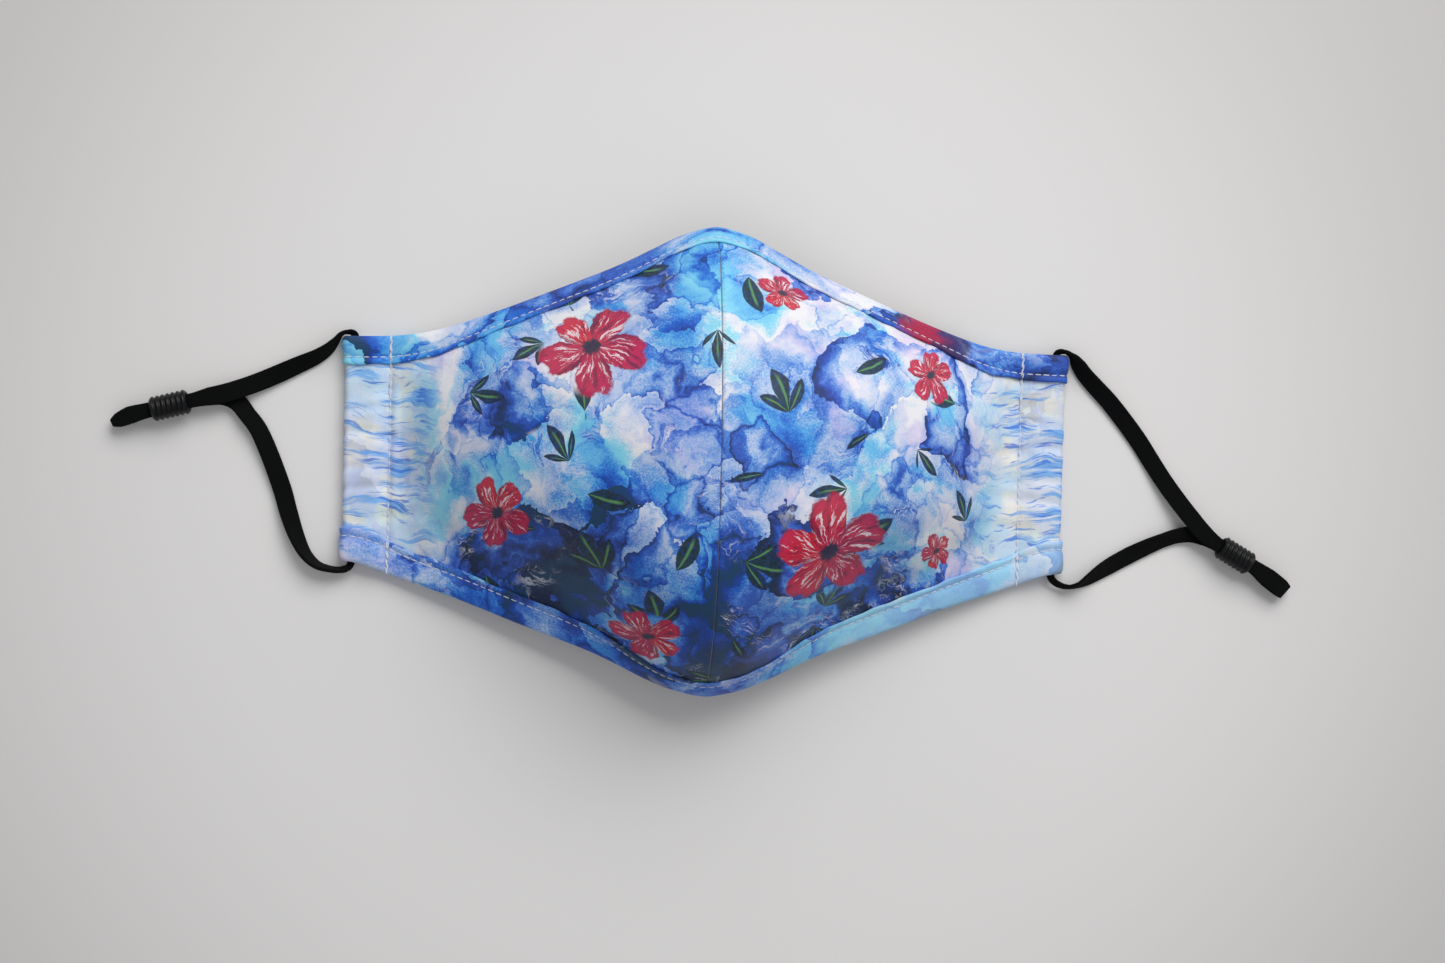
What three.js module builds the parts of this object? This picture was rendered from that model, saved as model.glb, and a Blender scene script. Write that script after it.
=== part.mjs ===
// Cloth face mask lying on its back: a domed cup of two panels joined by a centre seam,
// bound along the nose edge and the chin edge, with a folded casing at each side that
// carries a flat ear elastic and its sliding adjuster.
//
// Millimetres. X runs across the face, +Y points to the nose and +Z away from the face.
// The origin is on the table, under the middle of the mask.

import * as THREE from 'three';
import { NURBSCurve } from 'three/addons/curves/NURBSCurve.js';

// Cloth, clearances and the height of the lowest point of anything that lies loose.
const clothWall = 1.0;
const clearance = 0.3;
const lowest = 0.05;

// Binding: a strip whose thin lip laps over the panel's face.
const bindingWidth = 9;
const bindingLap = 2;
const lipWall = 1.0;
const edgeBevel = 0.5;
const lipHeight = clearance + lipWall;
const bindingBody = bindingWidth - bindingLap;

// Side casing: the panel's end folded back on itself round the elastic.
const stitchAcross = 104;
const hemEndAcross = 99.5;
const hemMiddleAcross = 109;
const foldAcross = 118.7;
const channelHeight = 1.8;
const puffLength = 6;
const hemHeight = lipHeight;
const foldRadius = clothWall + channelHeight / 2;
const foldCentre = foldAcross - foldRadius;
const frontHeight = hemHeight + 2 * foldRadius;
const flatHeight = hemHeight + 2 * clothWall + clearance;
const foldLength = Math.PI * foldRadius;
const hemStartRun = foldCentre + foldLength;
const hemMiddleRun = hemStartRun + foldCentre - hemMiddleAcross;
const hemEndRun = hemStartRun + foldCentre - hemEndAcross;

// Cup sections, from the seam out to the fold. Each bound edge has its Y, its Z, the
// angle at which the cloth rises from it and how far it keeps that angle, and the
// shoulder where that side of the dome turns over. The crown is the height that both
// shoulders reach for.
const cupSections = [
  section(0, [75.4, 20.0, 60, 11, 45], [-75.4, 16.0, 60, 11, -51], 62.0),
  section(8, [73.5, 19.5, 58, 11, 44], [-74.0, 15.6, 57, 11, -49], 61.0),
  section(20, [68.0, 17.8, 52, 11, 40], [-69.9, 14.3, 46, 12, -44], 58.8),
  section(32, [62.2, 15.6, 47, 11, 35], [-64.4, 12.7, 28, 15, -36], 55.2),
  section(46, [56.5, 12.8, 44, 11, 31], [-59.0, 10.6, 14, 18, -29], 49.4),
  section(60, [51.0, 9.9, 42, 11, 27], [-54.1, 8.6, 12, 19, -25], 41.4),
  section(80, [43.8, 6.4, 30, 12, 23], [-46.6, 6.2, 12, 19, -21], 24.6),
  section(92, [40.4, 4.8, 16, 16, 21], [-42.6, 4.8, 8, 18, -20], 12.4),
  section(stitchAcross, [38.8, flatHeight, 0, 18, 20], [-38.6, flatHeight, 0, 18, -20], flatHeight),
  section(foldAcross, [38.4, flatHeight, 0, 18, 20], [-34.6, flatHeight, 0, 18, -20], flatHeight),
];

// Soft folds pressed into the cloth: where each lies, its half sizes along and across
// its own direction, how that direction turns from X, and its depth.
const softFolds = [
  { across: 97, up: 1, halfLength: 26, halfWidth: 5, turn: 90, depth: 1.6 },
  { across: 84, up: 27, halfLength: 14, halfWidth: 4, turn: -38, depth: 1.0 },
  { across: 82, up: -27, halfLength: 15, halfWidth: 4, turn: 40, depth: 1.2 },
  { across: 58, up: -38, halfLength: 16, halfWidth: 5, turn: 24, depth: 0.9 },
];
const seamFade = 20;
const casingFade = 3;

// Where the cloth is divided: along the run from seam to hem end, and up each section.
const seamHalfGap = clearance / 2;
const domeRuns = [6.5, 13, 20, 27, 34, 41, 48, 55, 62, 69, 76, 82, 88, 93, 97, 100.5];
const casingRuns = [stitchAcross, 107, 110];
const foldSteps = 6;
const edgeRows = [bindingBody + clearance, bindingWidth, 12, 16, 20.5];
const middleRows = 10;

// Ear elastic and adjuster.
const elasticWidth = 6;
const elasticWall = 1.2;
const elasticBevel = 0.3;
const stepsPerPoint = 2;
const steepest = 0.4;
const sleeveLength = 12;
const sleeveBore = 3.0;
const sleeveGroove = 3.55;
const sleeveRib = 4.05;
const sleeveRibs = 7;
const sleeveSides = 16;

// The two routes, from inside the casing out of the nose-side mouth, round the ear loop
// and back in at the chin-side mouth. X and Y are on the table, lift is the height of
// the band's lowest edge, roll turns the band from flat (0) to standing on edge (90),
// and width is narrower where the adjuster squeezes it.
const leftRoute = [
  route(-114.6, 20, 2.6, 0, 5.0),
  route(-115.6, 37.9, 2.6, 0, 2.6),
  route(-115.95, 38.95, 2.45, 12, 2.4),
  route(-116.8, 39.5, 2.05, 48, 2.4),
  route(-118, 39.6, 1.6, 76, 2.4),
  route(-119.3, 39.45, 1.2, 86, 2.8),
  route(-120.4, 38.8, 0.8, 86, 3.8),
  route(-121.3, 37.6, 0.4, 82, 4.8),
  route(-122.3, 36.2, 0.15, 74, 5.4),
  route(-124.4, 33.9, 0.1, 61),
  route(-128, 31.4, 0.1, 46),
  route(-133.4, 28.8, 0.1, 31),
  route(-140.3, 25.5, 0.5, 14),
  route(-146.2, 22.8, 1.4, 5),
  route(-151.4, 20.7, 2.8, 0),
  route(-156.6, 18.9, 4, 0),
  route(-161.6, 17.65, 4.4, 0, 5.8),
  route(-166.45, 16.4, 4.4, 0, 4.7),
  route(-174.2, 14.4, 4.4, 0, 4.6),
  route(-181.95, 12.4, 4.4, 0, 4.7),
  route(-186.8, 11.15, 4.4, 0, 5.8),
  route(-190.6, 10, 3.8, 0, 5.4),
  route(-192.3, 9.5, 2.4, 0, 4.0),
  route(-190.7, 9.9, 1, 0, 5.4),
  route(-186.8, 11.05, 1.3, 0, 5.6),
  route(-181.95, 12.4, 2.7, 0, 4.7),
  route(-174.2, 14.4, 2.7, 0, 4.6),
  route(-166.45, 16.4, 2.7, 0, 4.7),
  route(-161.6, 17.5, 2.2, 0, 5.6),
  route(-157.2, 17.8, 1.3, 4),
  route(-153.2, 16, 0.4, 16),
  route(-149.8, 12, 0.1, 30),
  route(-146.1, 7, 0.1, 26),
  route(-138.6, -11.4, 0.1, 10),
  route(-136, -19.9, 0.1, 24),
  route(-133.2, -27.4, 0.1, 46),
  route(-130.2, -32.9, 0.1, 64),
  route(-126.6, -36.2, 0.1, 76),
  route(-122.4, -37.5, 0.3, 80, 5.2),
  route(-119.2, -37.7, 0.9, 74, 3.8),
  route(-117, -37.1, 1.7, 48, 2.7),
  route(-115.9, -36, 2.3, 16, 2.4),
  route(-115.6, -34.3, 2.6, 0, 2.6),
  route(-114.6, -18, 2.6, 0, 5.0),
  route(-114.6, 19.7, 2.6, 0, 5.0),
];
const rightRoute = [
  route(114.6, 20, 2.6, 0, 5.0),
  route(115.6, 37.9, 2.6, 0, 2.6),
  route(115.95, 38.95, 2.45, -12, 2.4),
  route(116.8, 39.5, 2.05, -48, 2.4),
  route(118, 39.6, 1.6, -76, 2.4),
  route(119.3, 39.45, 1.2, -86, 2.8),
  route(120.4, 38.8, 0.8, -86, 3.8),
  route(121.8, 37.5, 0.2, -72, 5.2),
  route(123.3, 35.3, 0.1, -54),
  route(125.8, 32, 0.1, -41),
  route(129.3, 28.4, 0.1, -31),
  route(134.6, 23.1, 0.1, -22),
  route(144.5, 11.1, 0.1, -10),
  route(149.2, 4.2, 0.3, -6),
  route(153.9, -2.9, 1.2, -3),
  route(158.6, -9.4, 2.6, 0),
  route(163.1, -15.2, 3.9, 0),
  route(167.4, -20, 4.4, 0, 5.8),
  route(171.8, -23.4, 4.4, 0, 4.8),
  route(178.5, -27.3, 4.4, 0, 4.6),
  route(185.4, -31.3, 4.4, 0, 4.8),
  route(190.2, -34.3, 4.2, 0),
  route(194.2, -37.1, 3.6, 0),
  route(196, -38.4, 2.3, 0, 5.6),
  route(194.4, -37.3, 1, 0),
  route(190.2, -34.4, 1.3, 0),
  route(185.4, -31.3, 2.7, 0, 4.8),
  route(178.5, -27.3, 2.7, 0, 4.6),
  route(171.8, -23.4, 2.7, 0, 4.8),
  route(167.4, -21.3, 2.2, 0, 5.6),
  route(163.2, -20.6, 1.3, 6, 5.4),
  route(158.8, -21.2, 0.4, 26, 5.6),
  route(154, -22.8, 0.1, 34),
  route(149, -25, 0.1, 24),
  route(143, -28, 0.1, 14),
  route(137, -31.3, 0.1, 18),
  route(132.4, -34, 0.1, 34),
  route(128.2, -36.7, 0.1, 54),
  route(125.2, -38.3, 0.1, 72, 5.6),
  route(122, -39, 0.4, 80, 4.6),
  route(119.3, -38.5, 0.9, 70, 3.4),
  route(117.2, -37.4, 1.7, 46, 2.6),
  route(116, -36.1, 2.3, 16, 2.4),
  route(115.6, -34.3, 2.6, 0, 2.6),
  route(114.6, -18, 2.6, 0, 5.0),
  route(114.6, 19.7, 2.6, 0, 5.0),
];

// Each sleeve's middle on the table, its height and its turn about Z.
const sleeveHeight = sleeveRib + lowest;
const sleeves = [
  { name: 'adjuster_left', x: -174.2, y: 14.4, turn: 194.5 },
  { name: 'adjuster_right', x: 178.5, y: -27.3, turn: -30 },
];

function section(across, top, bottom, crown) {
  const [topY, topZ, topRise, topReach, topShoulder] = top;
  const [bottomY, bottomZ, bottomRise, bottomReach, bottomShoulder] = bottom;
  return {
    across, topY, topZ, topRise, topReach, topShoulder,
    bottomY, bottomZ, bottomRise, bottomReach, bottomShoulder, crown,
  };
}

function route(x, y, lift, roll, width = elasticWidth) {
  return { x, y, lift, roll, width };
}

// A cubic spline through the values, free at its first end and level at its last.
function smoothThrough(places, values) {
  const last = places.length - 1;
  const slopeChange = (i) => (values[i + 1] - values[i]) / (places[i + 1] - places[i]);
  const carry = [0];
  const bend = [0];
  for (let i = 1; i <= last; i += 1) {
    const before = places[i] - places[i - 1];
    const after = i < last ? places[i + 1] - places[i] : 0;
    const change = (i < last ? slopeChange(i) : 0) - slopeChange(i - 1);
    const pivot = 2 * (before + after) - before * carry[i - 1];
    carry.push(after / pivot);
    bend.push((6 * change - before * bend[i - 1]) / pivot);
  }
  for (let i = last - 1; i > 0; i -= 1) {
    bend[i] -= carry[i] * bend[i + 1];
  }
  return (place) => {
    let i = 0;
    while (i < last - 1 && place > places[i + 1]) {
      i += 1;
    }
    const span = places[i + 1] - places[i];
    const right = (place - places[i]) / span;
    const left = 1 - right;
    const curl = ((left ** 3 - left) * bend[i] + (right ** 3 - right) * bend[i + 1]) * span * span / 6;
    return left * values[i] + right * values[i + 1] + curl;
  };
}

const sectionColumn = {};
for (const name of Object.keys(cupSections[0])) {
  const places = cupSections.map((row) => row.across);
  sectionColumn[name] = smoothThrough(places, cupSections.map((row) => row[name]));
}

// Where the cloth is at a distance run from the seam: level in the cup, then over the
// casing's puffed front, round the fold and back along the hem.
function clothPath(run) {
  if (run < stitchAcross) {
    return { x: run, height: null };
  }
  if (run < foldCentre) {
    const rise = THREE.MathUtils.smoothstep(run, stitchAcross, stitchAcross + puffLength);
    return { x: run, height: THREE.MathUtils.lerp(flatHeight, frontHeight, rise) };
  }
  const turn = (run - foldCentre) / foldRadius;
  if (turn < Math.PI) {
    return {
      x: foldCentre + foldRadius * Math.sin(turn),
      height: hemHeight + foldRadius * (1 + Math.cos(turn)),
    };
  }
  return { x: hemStartRun + foldCentre - run, height: hemHeight };
}

// The curve of one section from the bottom edge to the top edge, in Y and Z.
function sectionCurve(run) {
  const { x, height } = clothPath(run);
  const value = (name) => sectionColumn[name](x);
  const level = height !== null;
  const crown = level ? height : value('crown');
  const edgeAndFlange = (name, inward) => {
    const rise = level ? 0 : THREE.MathUtils.degToRad(value(`${name}Rise`));
    const reach = value(`${name}Reach`);
    const edge = new THREE.Vector4(x, value(`${name}Y`), level ? height : value(`${name}Z`), 1);
    const flange = edge.clone();
    flange.y += inward * reach * Math.cos(rise);
    flange.z += reach * Math.sin(rise);
    return [edge, flange];
  };
  const controls = [
    ...edgeAndFlange('bottom', 1),
    new THREE.Vector4(x, value('bottomShoulder'), crown, 1),
    new THREE.Vector4(x, value('topShoulder'), crown, 1),
    ...edgeAndFlange('top', -1).reverse(),
  ];
  return new NURBSCurve(3, [0, 0, 0, 0, 1 / 3, 2 / 3, 1, 1, 1, 1], controls);
}

const curves = new Map();
function curveAt(run) {
  const key = run.toFixed(4);
  if (!curves.has(key)) {
    const curve = sectionCurve(run);
    curves.set(key, { curve, length: curve.getLength() });
  }
  return curves.get(key);
}

// How far the soft folds press the cloth in at a point. They fade out at the seam, the
// casings and the bindings.
function foldDepth(point, fromEdge) {
  const open = THREE.MathUtils.smoothstep(fromEdge, bindingWidth, 2 * bindingWidth)
    * THREE.MathUtils.smoothstep(point.x, 0, seamFade)
    * THREE.MathUtils.smoothstep(stitchAcross - point.x, 1, 1 + casingFade);
  let depth = 0;
  for (const fold of softFolds) {
    const turn = THREE.MathUtils.degToRad(fold.turn);
    const dx = point.x - fold.across;
    const dy = point.y - fold.up;
    const along = (dx * Math.cos(turn) + dy * Math.sin(turn)) / fold.halfLength;
    const beside = (dy * Math.cos(turn) - dx * Math.sin(turn)) / fold.halfWidth;
    depth += fold.depth * Math.exp(-along * along - beside * beside);
  }
  return depth * open;
}

// A point of the cloth's outer face. The inset is measured up the section from its
// bottom edge, or down from its top edge.
function facePoint(run, edge, inset) {
  const { curve, length } = curveAt(run);
  const fromBottom = edge === 'bottom' ? inset : length - inset;
  const point = curve.getPointAt(THREE.MathUtils.clamp(fromBottom / length, 0, 1));
  if (run < stitchAcross) {
    point.z -= foldDepth(point, Math.min(fromBottom, length - fromBottom));
  }
  return point;
}

// The outward normal of the cloth's outer face, from points a probe's length either side.
const probe = 0.2;
function faceNormal(run, edge, inset) {
  const before = Math.max(run - probe, 0);
  const along = facePoint(run + probe, edge, inset).sub(facePoint(before, edge, inset));
  const near = Math.max(inset, probe);
  const up = facePoint(run, edge, near + probe).sub(facePoint(run, edge, near - probe));
  const normal = edge === 'bottom' ? along.cross(up) : up.cross(along);
  if (run < 2 * seamHalfGap) {
    normal.x = 0;
  }
  return normal.normalize();
}

// How much longer than its true width a strip is when measured up a section, because
// the bound edge slants across the sections.
function edgeStretch(run, edge) {
  const before = Math.max(run - probe, 0);
  const along = facePoint(run + probe, edge, 0).sub(facePoint(before, edge, 0));
  const inward = facePoint(run, edge, probe).sub(facePoint(run, edge, 0));
  return 1 / along.normalize().cross(inward.normalize()).length();
}

function spread(from, to, count) {
  return Array.from({ length: count + 1 }, (_, i) => from + (to - from) * i / count);
}

const outerRuns = [
  ...domeRuns,
  ...casingRuns,
  ...spread(foldCentre, hemStartRun, foldSteps),
  hemMiddleRun,
  hemEndRun,
];

// A closed solid from its vertices and triangles, turned so that its faces point out.
function solid(points, triangles) {
  let volume = 0;
  const product = new THREE.Vector3();
  for (const [a, b, c] of triangles) {
    volume += points[a].dot(product.crossVectors(points[b], points[c]));
  }
  const facing = volume > 0 ? triangles : triangles.map(([a, b, c]) => [a, c, b]);
  const geometry = new THREE.BufferGeometry();
  geometry.setAttribute('position', new THREE.Float32BufferAttribute(points.flatMap((p) => p.toArray()), 3));
  geometry.setIndex(facing.flat());
  geometry.computeVertexNormals();
  return geometry;
}

// A cloth wall between two grids of points with the same rows and columns.
function wall(outer, inner) {
  const columns = outer.length;
  const rows = outer[0].length;
  const points = [...outer.flat(), ...inner.flat()];
  const triangles = [];
  const quad = (a, b, c, d) => triangles.push([a, b, c], [a, c, d]);
  const out = (i, j) => i * rows + j;
  const back = (i, j) => columns * rows + out(i, j);
  for (let i = 0; i < columns - 1; i += 1) {
    for (let j = 0; j < rows - 1; j += 1) {
      quad(out(i, j), out(i + 1, j), out(i + 1, j + 1), out(i, j + 1));
      quad(back(i, j), back(i, j + 1), back(i + 1, j + 1), back(i + 1, j));
    }
    quad(out(i, 0), back(i, 0), back(i + 1, 0), out(i + 1, 0));
    quad(out(i + 1, rows - 1), back(i + 1, rows - 1), back(i, rows - 1), out(i, rows - 1));
  }
  for (let j = 0; j < rows - 1; j += 1) {
    quad(out(0, j + 1), back(0, j + 1), back(0, j), out(0, j));
    quad(out(columns - 1, j), back(columns - 1, j), back(columns - 1, j + 1), out(columns - 1, j + 1));
  }
  return solid(points, triangles);
}

// A bar through rings of points, its two ends filled as the flat outline is.
function bar(rings, outline) {
  const sides = outline.length;
  const triangles = [];
  for (let i = 0; i < rings.length - 1; i += 1) {
    for (let j = 0; j < sides; j += 1) {
      const here = i * sides;
      const next = here + sides;
      const k = (j + 1) % sides;
      triangles.push([here + j, here + k, next + k], [here + j, next + k, next + j]);
    }
  }
  const far = (rings.length - 1) * sides;
  for (const [a, b, c] of THREE.ShapeUtils.triangulateShape(outline, [])) {
    triangles.push([a, c, b], [far + a, far + b, far + c]);
  }
  return solid(rings.flat(), triangles);
}

// One half of the cup: side is 1 for the half at +X and -1 for its mirror image.
function cupPanel(side) {
  const outer = [];
  const inner = [];
  for (const run of [seamHalfGap, ...outerRuns]) {
    const { length } = curveAt(run);
    const low = edgeRows.map((inset) => inset * edgeStretch(run, 'bottom'));
    const high = edgeRows.map((inset) => length - inset * edgeStretch(run, 'top')).reverse();
    const insets = [...low.slice(0, -1), ...spread(low.at(-1), high[0], middleRows), ...high.slice(1)];
    const face = [];
    const back = [];
    for (const inset of insets) {
      const point = facePoint(run, 'bottom', inset);
      const normal = faceNormal(run, 'bottom', inset);
      const mirror = new THREE.Vector3(side, 1, 1);
      face.push(point.clone().multiply(mirror));
      back.push(point.addScaledVector(normal, -clothWall).multiply(mirror));
    }
    outer.push(face);
    inner.push(back);
  }
  return wall(outer, inner);
}

// A binding strip from the hem end of one side, over the seam, to that of the other.
// Its outline is drawn from the bound edge inwards and from the cloth's face outwards.
function binding(edge) {
  const outline = [
    new THREE.Vector2(bindingBody, -clothWall),
    new THREE.Vector2(bindingBody, clearance),
    new THREE.Vector2(bindingWidth, clearance),
    new THREE.Vector2(bindingWidth, lipHeight),
    new THREE.Vector2(edgeBevel, lipHeight),
    new THREE.Vector2(0, lipHeight - edgeBevel),
    new THREE.Vector2(0, edgeBevel - clothWall),
    new THREE.Vector2(edgeBevel, -clothWall),
  ];
  const runs = [...outerRuns.map((run) => -run).reverse(), 0, ...outerRuns];
  const rings = runs.map((signedRun) => {
    const run = Math.abs(signedRun);
    const mirror = new THREE.Vector3(signedRun < 0 ? -1 : 1, 1, 1);
    const stretch = edgeStretch(run, edge);
    return outline.map((corner) => {
      const inset = corner.x * stretch;
      const normal = faceNormal(run, edge, inset);
      return facePoint(run, edge, inset).addScaledVector(normal, corner.y).multiply(mirror);
    });
  });
  return bar(rings, outline);
}

// How high the middle of a rolled band is when its lowest edge is at its lift.
function bandHeight({ lift, roll, width }) {
  const turn = THREE.MathUtils.degToRad(Math.abs(roll));
  return lift + width / 2 * Math.sin(turn) + elasticWall / 2 * Math.cos(turn);
}

const upwards = new THREE.Vector3(0, 0, 1);

// A flat band along its route. Its width lies level and square to the route before it
// is rolled, and keeps its side where the route turns back over itself.
function elastic(points) {
  const places = points.map((point) => new THREE.Vector3(point.x, point.y, bandHeight(point)));
  const curve = new THREE.CatmullRomCurve3(places, false, 'centripetal');
  const steps = (points.length - 1) * stepsPerPoint;
  const outline = bandOutline(elasticWidth / 2);
  const rings = [];
  let beside = new THREE.Vector3().crossVectors(curve.getTangent(0), upwards);
  for (let i = 0; i <= steps; i += 1) {
    const before = Math.min(Math.floor(i / stepsPerPoint), points.length - 2);
    const share = i / stepsPerPoint - before;
    const between = (name) => THREE.MathUtils.lerp(points[before][name], points[before + 1][name], share);
    const centre = curve.getPoint(i / steps);
    const tangent = curve.getTangent(i / steps);
    const level = new THREE.Vector3().crossVectors(tangent, upwards);
    if (level.length() > steepest) {
      beside = level.multiplyScalar(Math.sign(level.dot(beside)));
    }
    beside = beside.clone().addScaledVector(tangent, -beside.dot(tangent)).normalize();
    const above = new THREE.Vector3().crossVectors(beside, tangent);
    const roll = THREE.MathUtils.degToRad(between('roll'));
    const across = beside.clone().multiplyScalar(Math.cos(roll)).addScaledVector(above, Math.sin(roll));
    const through = new THREE.Vector3().crossVectors(across, tangent);
    rings.push(bandOutline(between('width') / 2).map((corner) => centre.clone()
      .addScaledVector(across, corner.x).addScaledVector(through, corner.y)));
  }
  return bar(rings, outline);
}

function bandOutline(halfWidth) {
  const halfWall = elasticWall / 2;
  const flat = halfWidth - elasticBevel;
  const upright = halfWall - elasticBevel;
  return [
    new THREE.Vector2(flat, halfWall),
    new THREE.Vector2(-flat, halfWall),
    new THREE.Vector2(-halfWidth, upright),
    new THREE.Vector2(-halfWidth, -upright),
    new THREE.Vector2(-flat, -halfWall),
    new THREE.Vector2(flat, -halfWall),
    new THREE.Vector2(halfWidth, -upright),
    new THREE.Vector2(halfWidth, upright),
  ];
}

// A ribbed sleeve about its own Y axis: up the bore and back down over the ribs.
function sleeve() {
  const pitch = sleeveLength / sleeveRibs;
  const foot = -sleeveLength / 2;
  const profile = [new THREE.Vector2(sleeveBore, -foot), new THREE.Vector2(sleeveBore, foot)];
  for (let i = 0; i < sleeveRibs; i += 1) {
    profile.push(new THREE.Vector2(sleeveGroove, foot + i * pitch));
    profile.push(new THREE.Vector2(sleeveRib, foot + (i + 0.3) * pitch));
    profile.push(new THREE.Vector2(sleeveRib, foot + (i + 0.7) * pitch));
  }
  profile.push(new THREE.Vector2(sleeveGroove, -foot), profile[0].clone());
  return new THREE.LatheGeometry(profile, sleeveSides);
}

function piece(name, geometry, color, roughness) {
  const mesh = new THREE.Mesh(geometry, new THREE.MeshStandardMaterial({ color, roughness }));
  mesh.name = name;
  return mesh;
}

const mask = new THREE.Group();
mask.add(
  piece('cup_panel_left', cupPanel(-1), 0x8fb4e0, 0.85),
  piece('cup_panel_right', cupPanel(1), 0x9abbe6, 0.85),
  piece('top_binding', binding('top'), 0x3f66b8, 0.85),
  piece('bottom_binding', binding('bottom'), 0x6f9bd8, 0.85),
  piece('ear_elastic_left', elastic(leftRoute), 0x0b0c0e, 0.95),
  piece('ear_elastic_right', elastic(rightRoute), 0x0b0c0e, 0.95),
);
for (const { name, x, y, turn } of sleeves) {
  const adjuster = piece(name, sleeve(), 0x26282b, 0.6);
  adjuster.rotation.z = THREE.MathUtils.degToRad(turn - 90);
  adjuster.position.set(x, y, sleeveHeight);
  mask.add(adjuster);
}

export default mask;
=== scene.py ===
# Dresses the cloth face mask: printed cup, bound edges, stitched casings, knitted ear
# elastics and ribbed adjusters. Shapes are worked out in millimetres and made in metres.
import math

import bpy
import numpy as np
from mathutils import Matrix, Vector


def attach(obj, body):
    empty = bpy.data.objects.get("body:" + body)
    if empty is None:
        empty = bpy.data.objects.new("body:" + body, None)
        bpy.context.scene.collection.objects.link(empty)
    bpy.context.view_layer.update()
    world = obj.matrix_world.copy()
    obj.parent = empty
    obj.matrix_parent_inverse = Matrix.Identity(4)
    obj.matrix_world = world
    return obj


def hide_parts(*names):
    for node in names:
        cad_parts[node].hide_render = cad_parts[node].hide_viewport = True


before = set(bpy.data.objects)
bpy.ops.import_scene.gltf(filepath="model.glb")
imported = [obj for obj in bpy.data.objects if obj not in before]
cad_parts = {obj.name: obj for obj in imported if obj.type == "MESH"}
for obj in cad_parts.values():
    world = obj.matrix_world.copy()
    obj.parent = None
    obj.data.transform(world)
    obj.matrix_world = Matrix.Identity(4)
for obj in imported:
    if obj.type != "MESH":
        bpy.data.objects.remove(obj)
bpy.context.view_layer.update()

MM = 0.001

# Sizes of the mask, as in its CAD source.
CLOTH_WALL = 1.0
BINDING_WIDTH = 9.0
STITCH_ACROSS = 104.0
HEM_END_ACROSS = 99.5
PUFF_LENGTH = 6.0
FOLD_RADIUS = 1.9
FOLD_CENTRE = 116.8
HEM_HEIGHT = 1.3
FLAT_HEIGHT = 3.6
FRONT_HEIGHT = 5.1
HEM_START_RUN = FOLD_CENTRE + math.pi * FOLD_RADIUS
HEM_END_RUN = HEM_START_RUN + FOLD_CENTRE - HEM_END_ACROSS
HEM_STITCH_RUN = HEM_START_RUN + FOLD_CENTRE - STITCH_ACROSS
SEAM_FADE = 20.0
CASING_FADE = 3.0

SECTION_COLUMNS = (
    "across",
    "top_y", "top_z", "top_rise", "top_reach", "top_shoulder",
    "bottom_y", "bottom_z", "bottom_rise", "bottom_reach", "bottom_shoulder",
    "crown",
)
CUP_SECTIONS = (
    (0.0, 75.4, 20.0, 60, 11, 45, -75.4, 16.0, 60, 11, -51, 62.0),
    (8.0, 73.5, 19.5, 58, 11, 44, -74.0, 15.6, 57, 11, -49, 61.0),
    (20.0, 68.0, 17.8, 52, 11, 40, -69.9, 14.3, 46, 12, -44, 58.8),
    (32.0, 62.2, 15.6, 47, 11, 35, -64.4, 12.7, 28, 15, -36, 55.2),
    (46.0, 56.5, 12.8, 44, 11, 31, -59.0, 10.6, 14, 18, -29, 49.4),
    (60.0, 51.0, 9.9, 42, 11, 27, -54.1, 8.6, 12, 19, -25, 41.4),
    (80.0, 43.8, 6.4, 30, 12, 23, -46.6, 6.2, 12, 19, -21, 24.6),
    (92.0, 40.4, 4.8, 16, 16, 21, -42.6, 4.8, 8, 18, -20, 12.4),
    (104.0, 38.8, 3.6, 0, 18, 20, -38.6, 3.6, 0, 18, -20, 3.6),
    (118.7, 38.4, 3.6, 0, 18, 20, -34.6, 3.6, 0, 18, -20, 3.6),
)

# Soft folds: across, up, half length, half width, turn in degrees, depth.
SOFT_FOLDS = (
    (97, 1, 26, 5, 90, 1.6),
    (84, 27, 14, 4, -38, 1.0),
    (82, -27, 15, 4, 40, 1.2),
    (58, -38, 16, 5, 24, 0.9),
)

scene = bpy.context.scene
scene.view_settings.view_transform = "Standard"


def add_object(name, data):
    thing = bpy.data.objects.new(name, data)
    scene.collection.objects.link(thing)
    return thing


# ---- camera and light

CAMERA_PLACE = (-47.58, 10.87, 662.86)
CAMERA_BACK = (-0.07935, 0.02577, 0.99651)
CAMERA_ROLL = 1.385


def set_camera():
    back = Vector(CAMERA_BACK).normalized()
    level = Vector((0, 1, 0)).cross(back).normalized()
    upright = back.cross(level)
    roll = math.radians(CAMERA_ROLL)
    right = math.cos(roll) * level + math.sin(roll) * upright
    above = -math.sin(roll) * level + math.cos(roll) * upright
    lens = bpy.data.cameras.new("camera")
    lens.lens = 50
    lens.sensor_width = 36
    lens.clip_start = 0.01
    lens.clip_end = 20
    place = Matrix((right, above, back)).transposed().to_4x4()
    place.translation = Vector(CAMERA_PLACE) * MM
    scene.camera = add_object("camera", lens)
    scene.camera.matrix_world = place


def add_light(name, place, width, height, power, color):
    """A soft panel of light that faces the mask."""
    light = bpy.data.lights.new(name, "AREA")
    light.shape = "RECTANGLE"
    light.size = width
    light.size_y = height
    light.energy = power
    light.color = color
    lamp = add_object(name, light)
    lamp.location = place
    lamp.rotation_euler = Vector(place).to_track_quat("Z", "Y").to_euler()
    lamp.visible_camera = False


def add_room_light():
    world = bpy.data.worlds.new("room_light")
    scene.world = world
    world.use_nodes = True
    glow = world.node_tree.nodes["Background"].inputs
    glow["Color"].default_value = (0.97, 0.97, 1.0, 1.0)
    glow["Strength"].default_value = 0.36


# ---- node wiring


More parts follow.
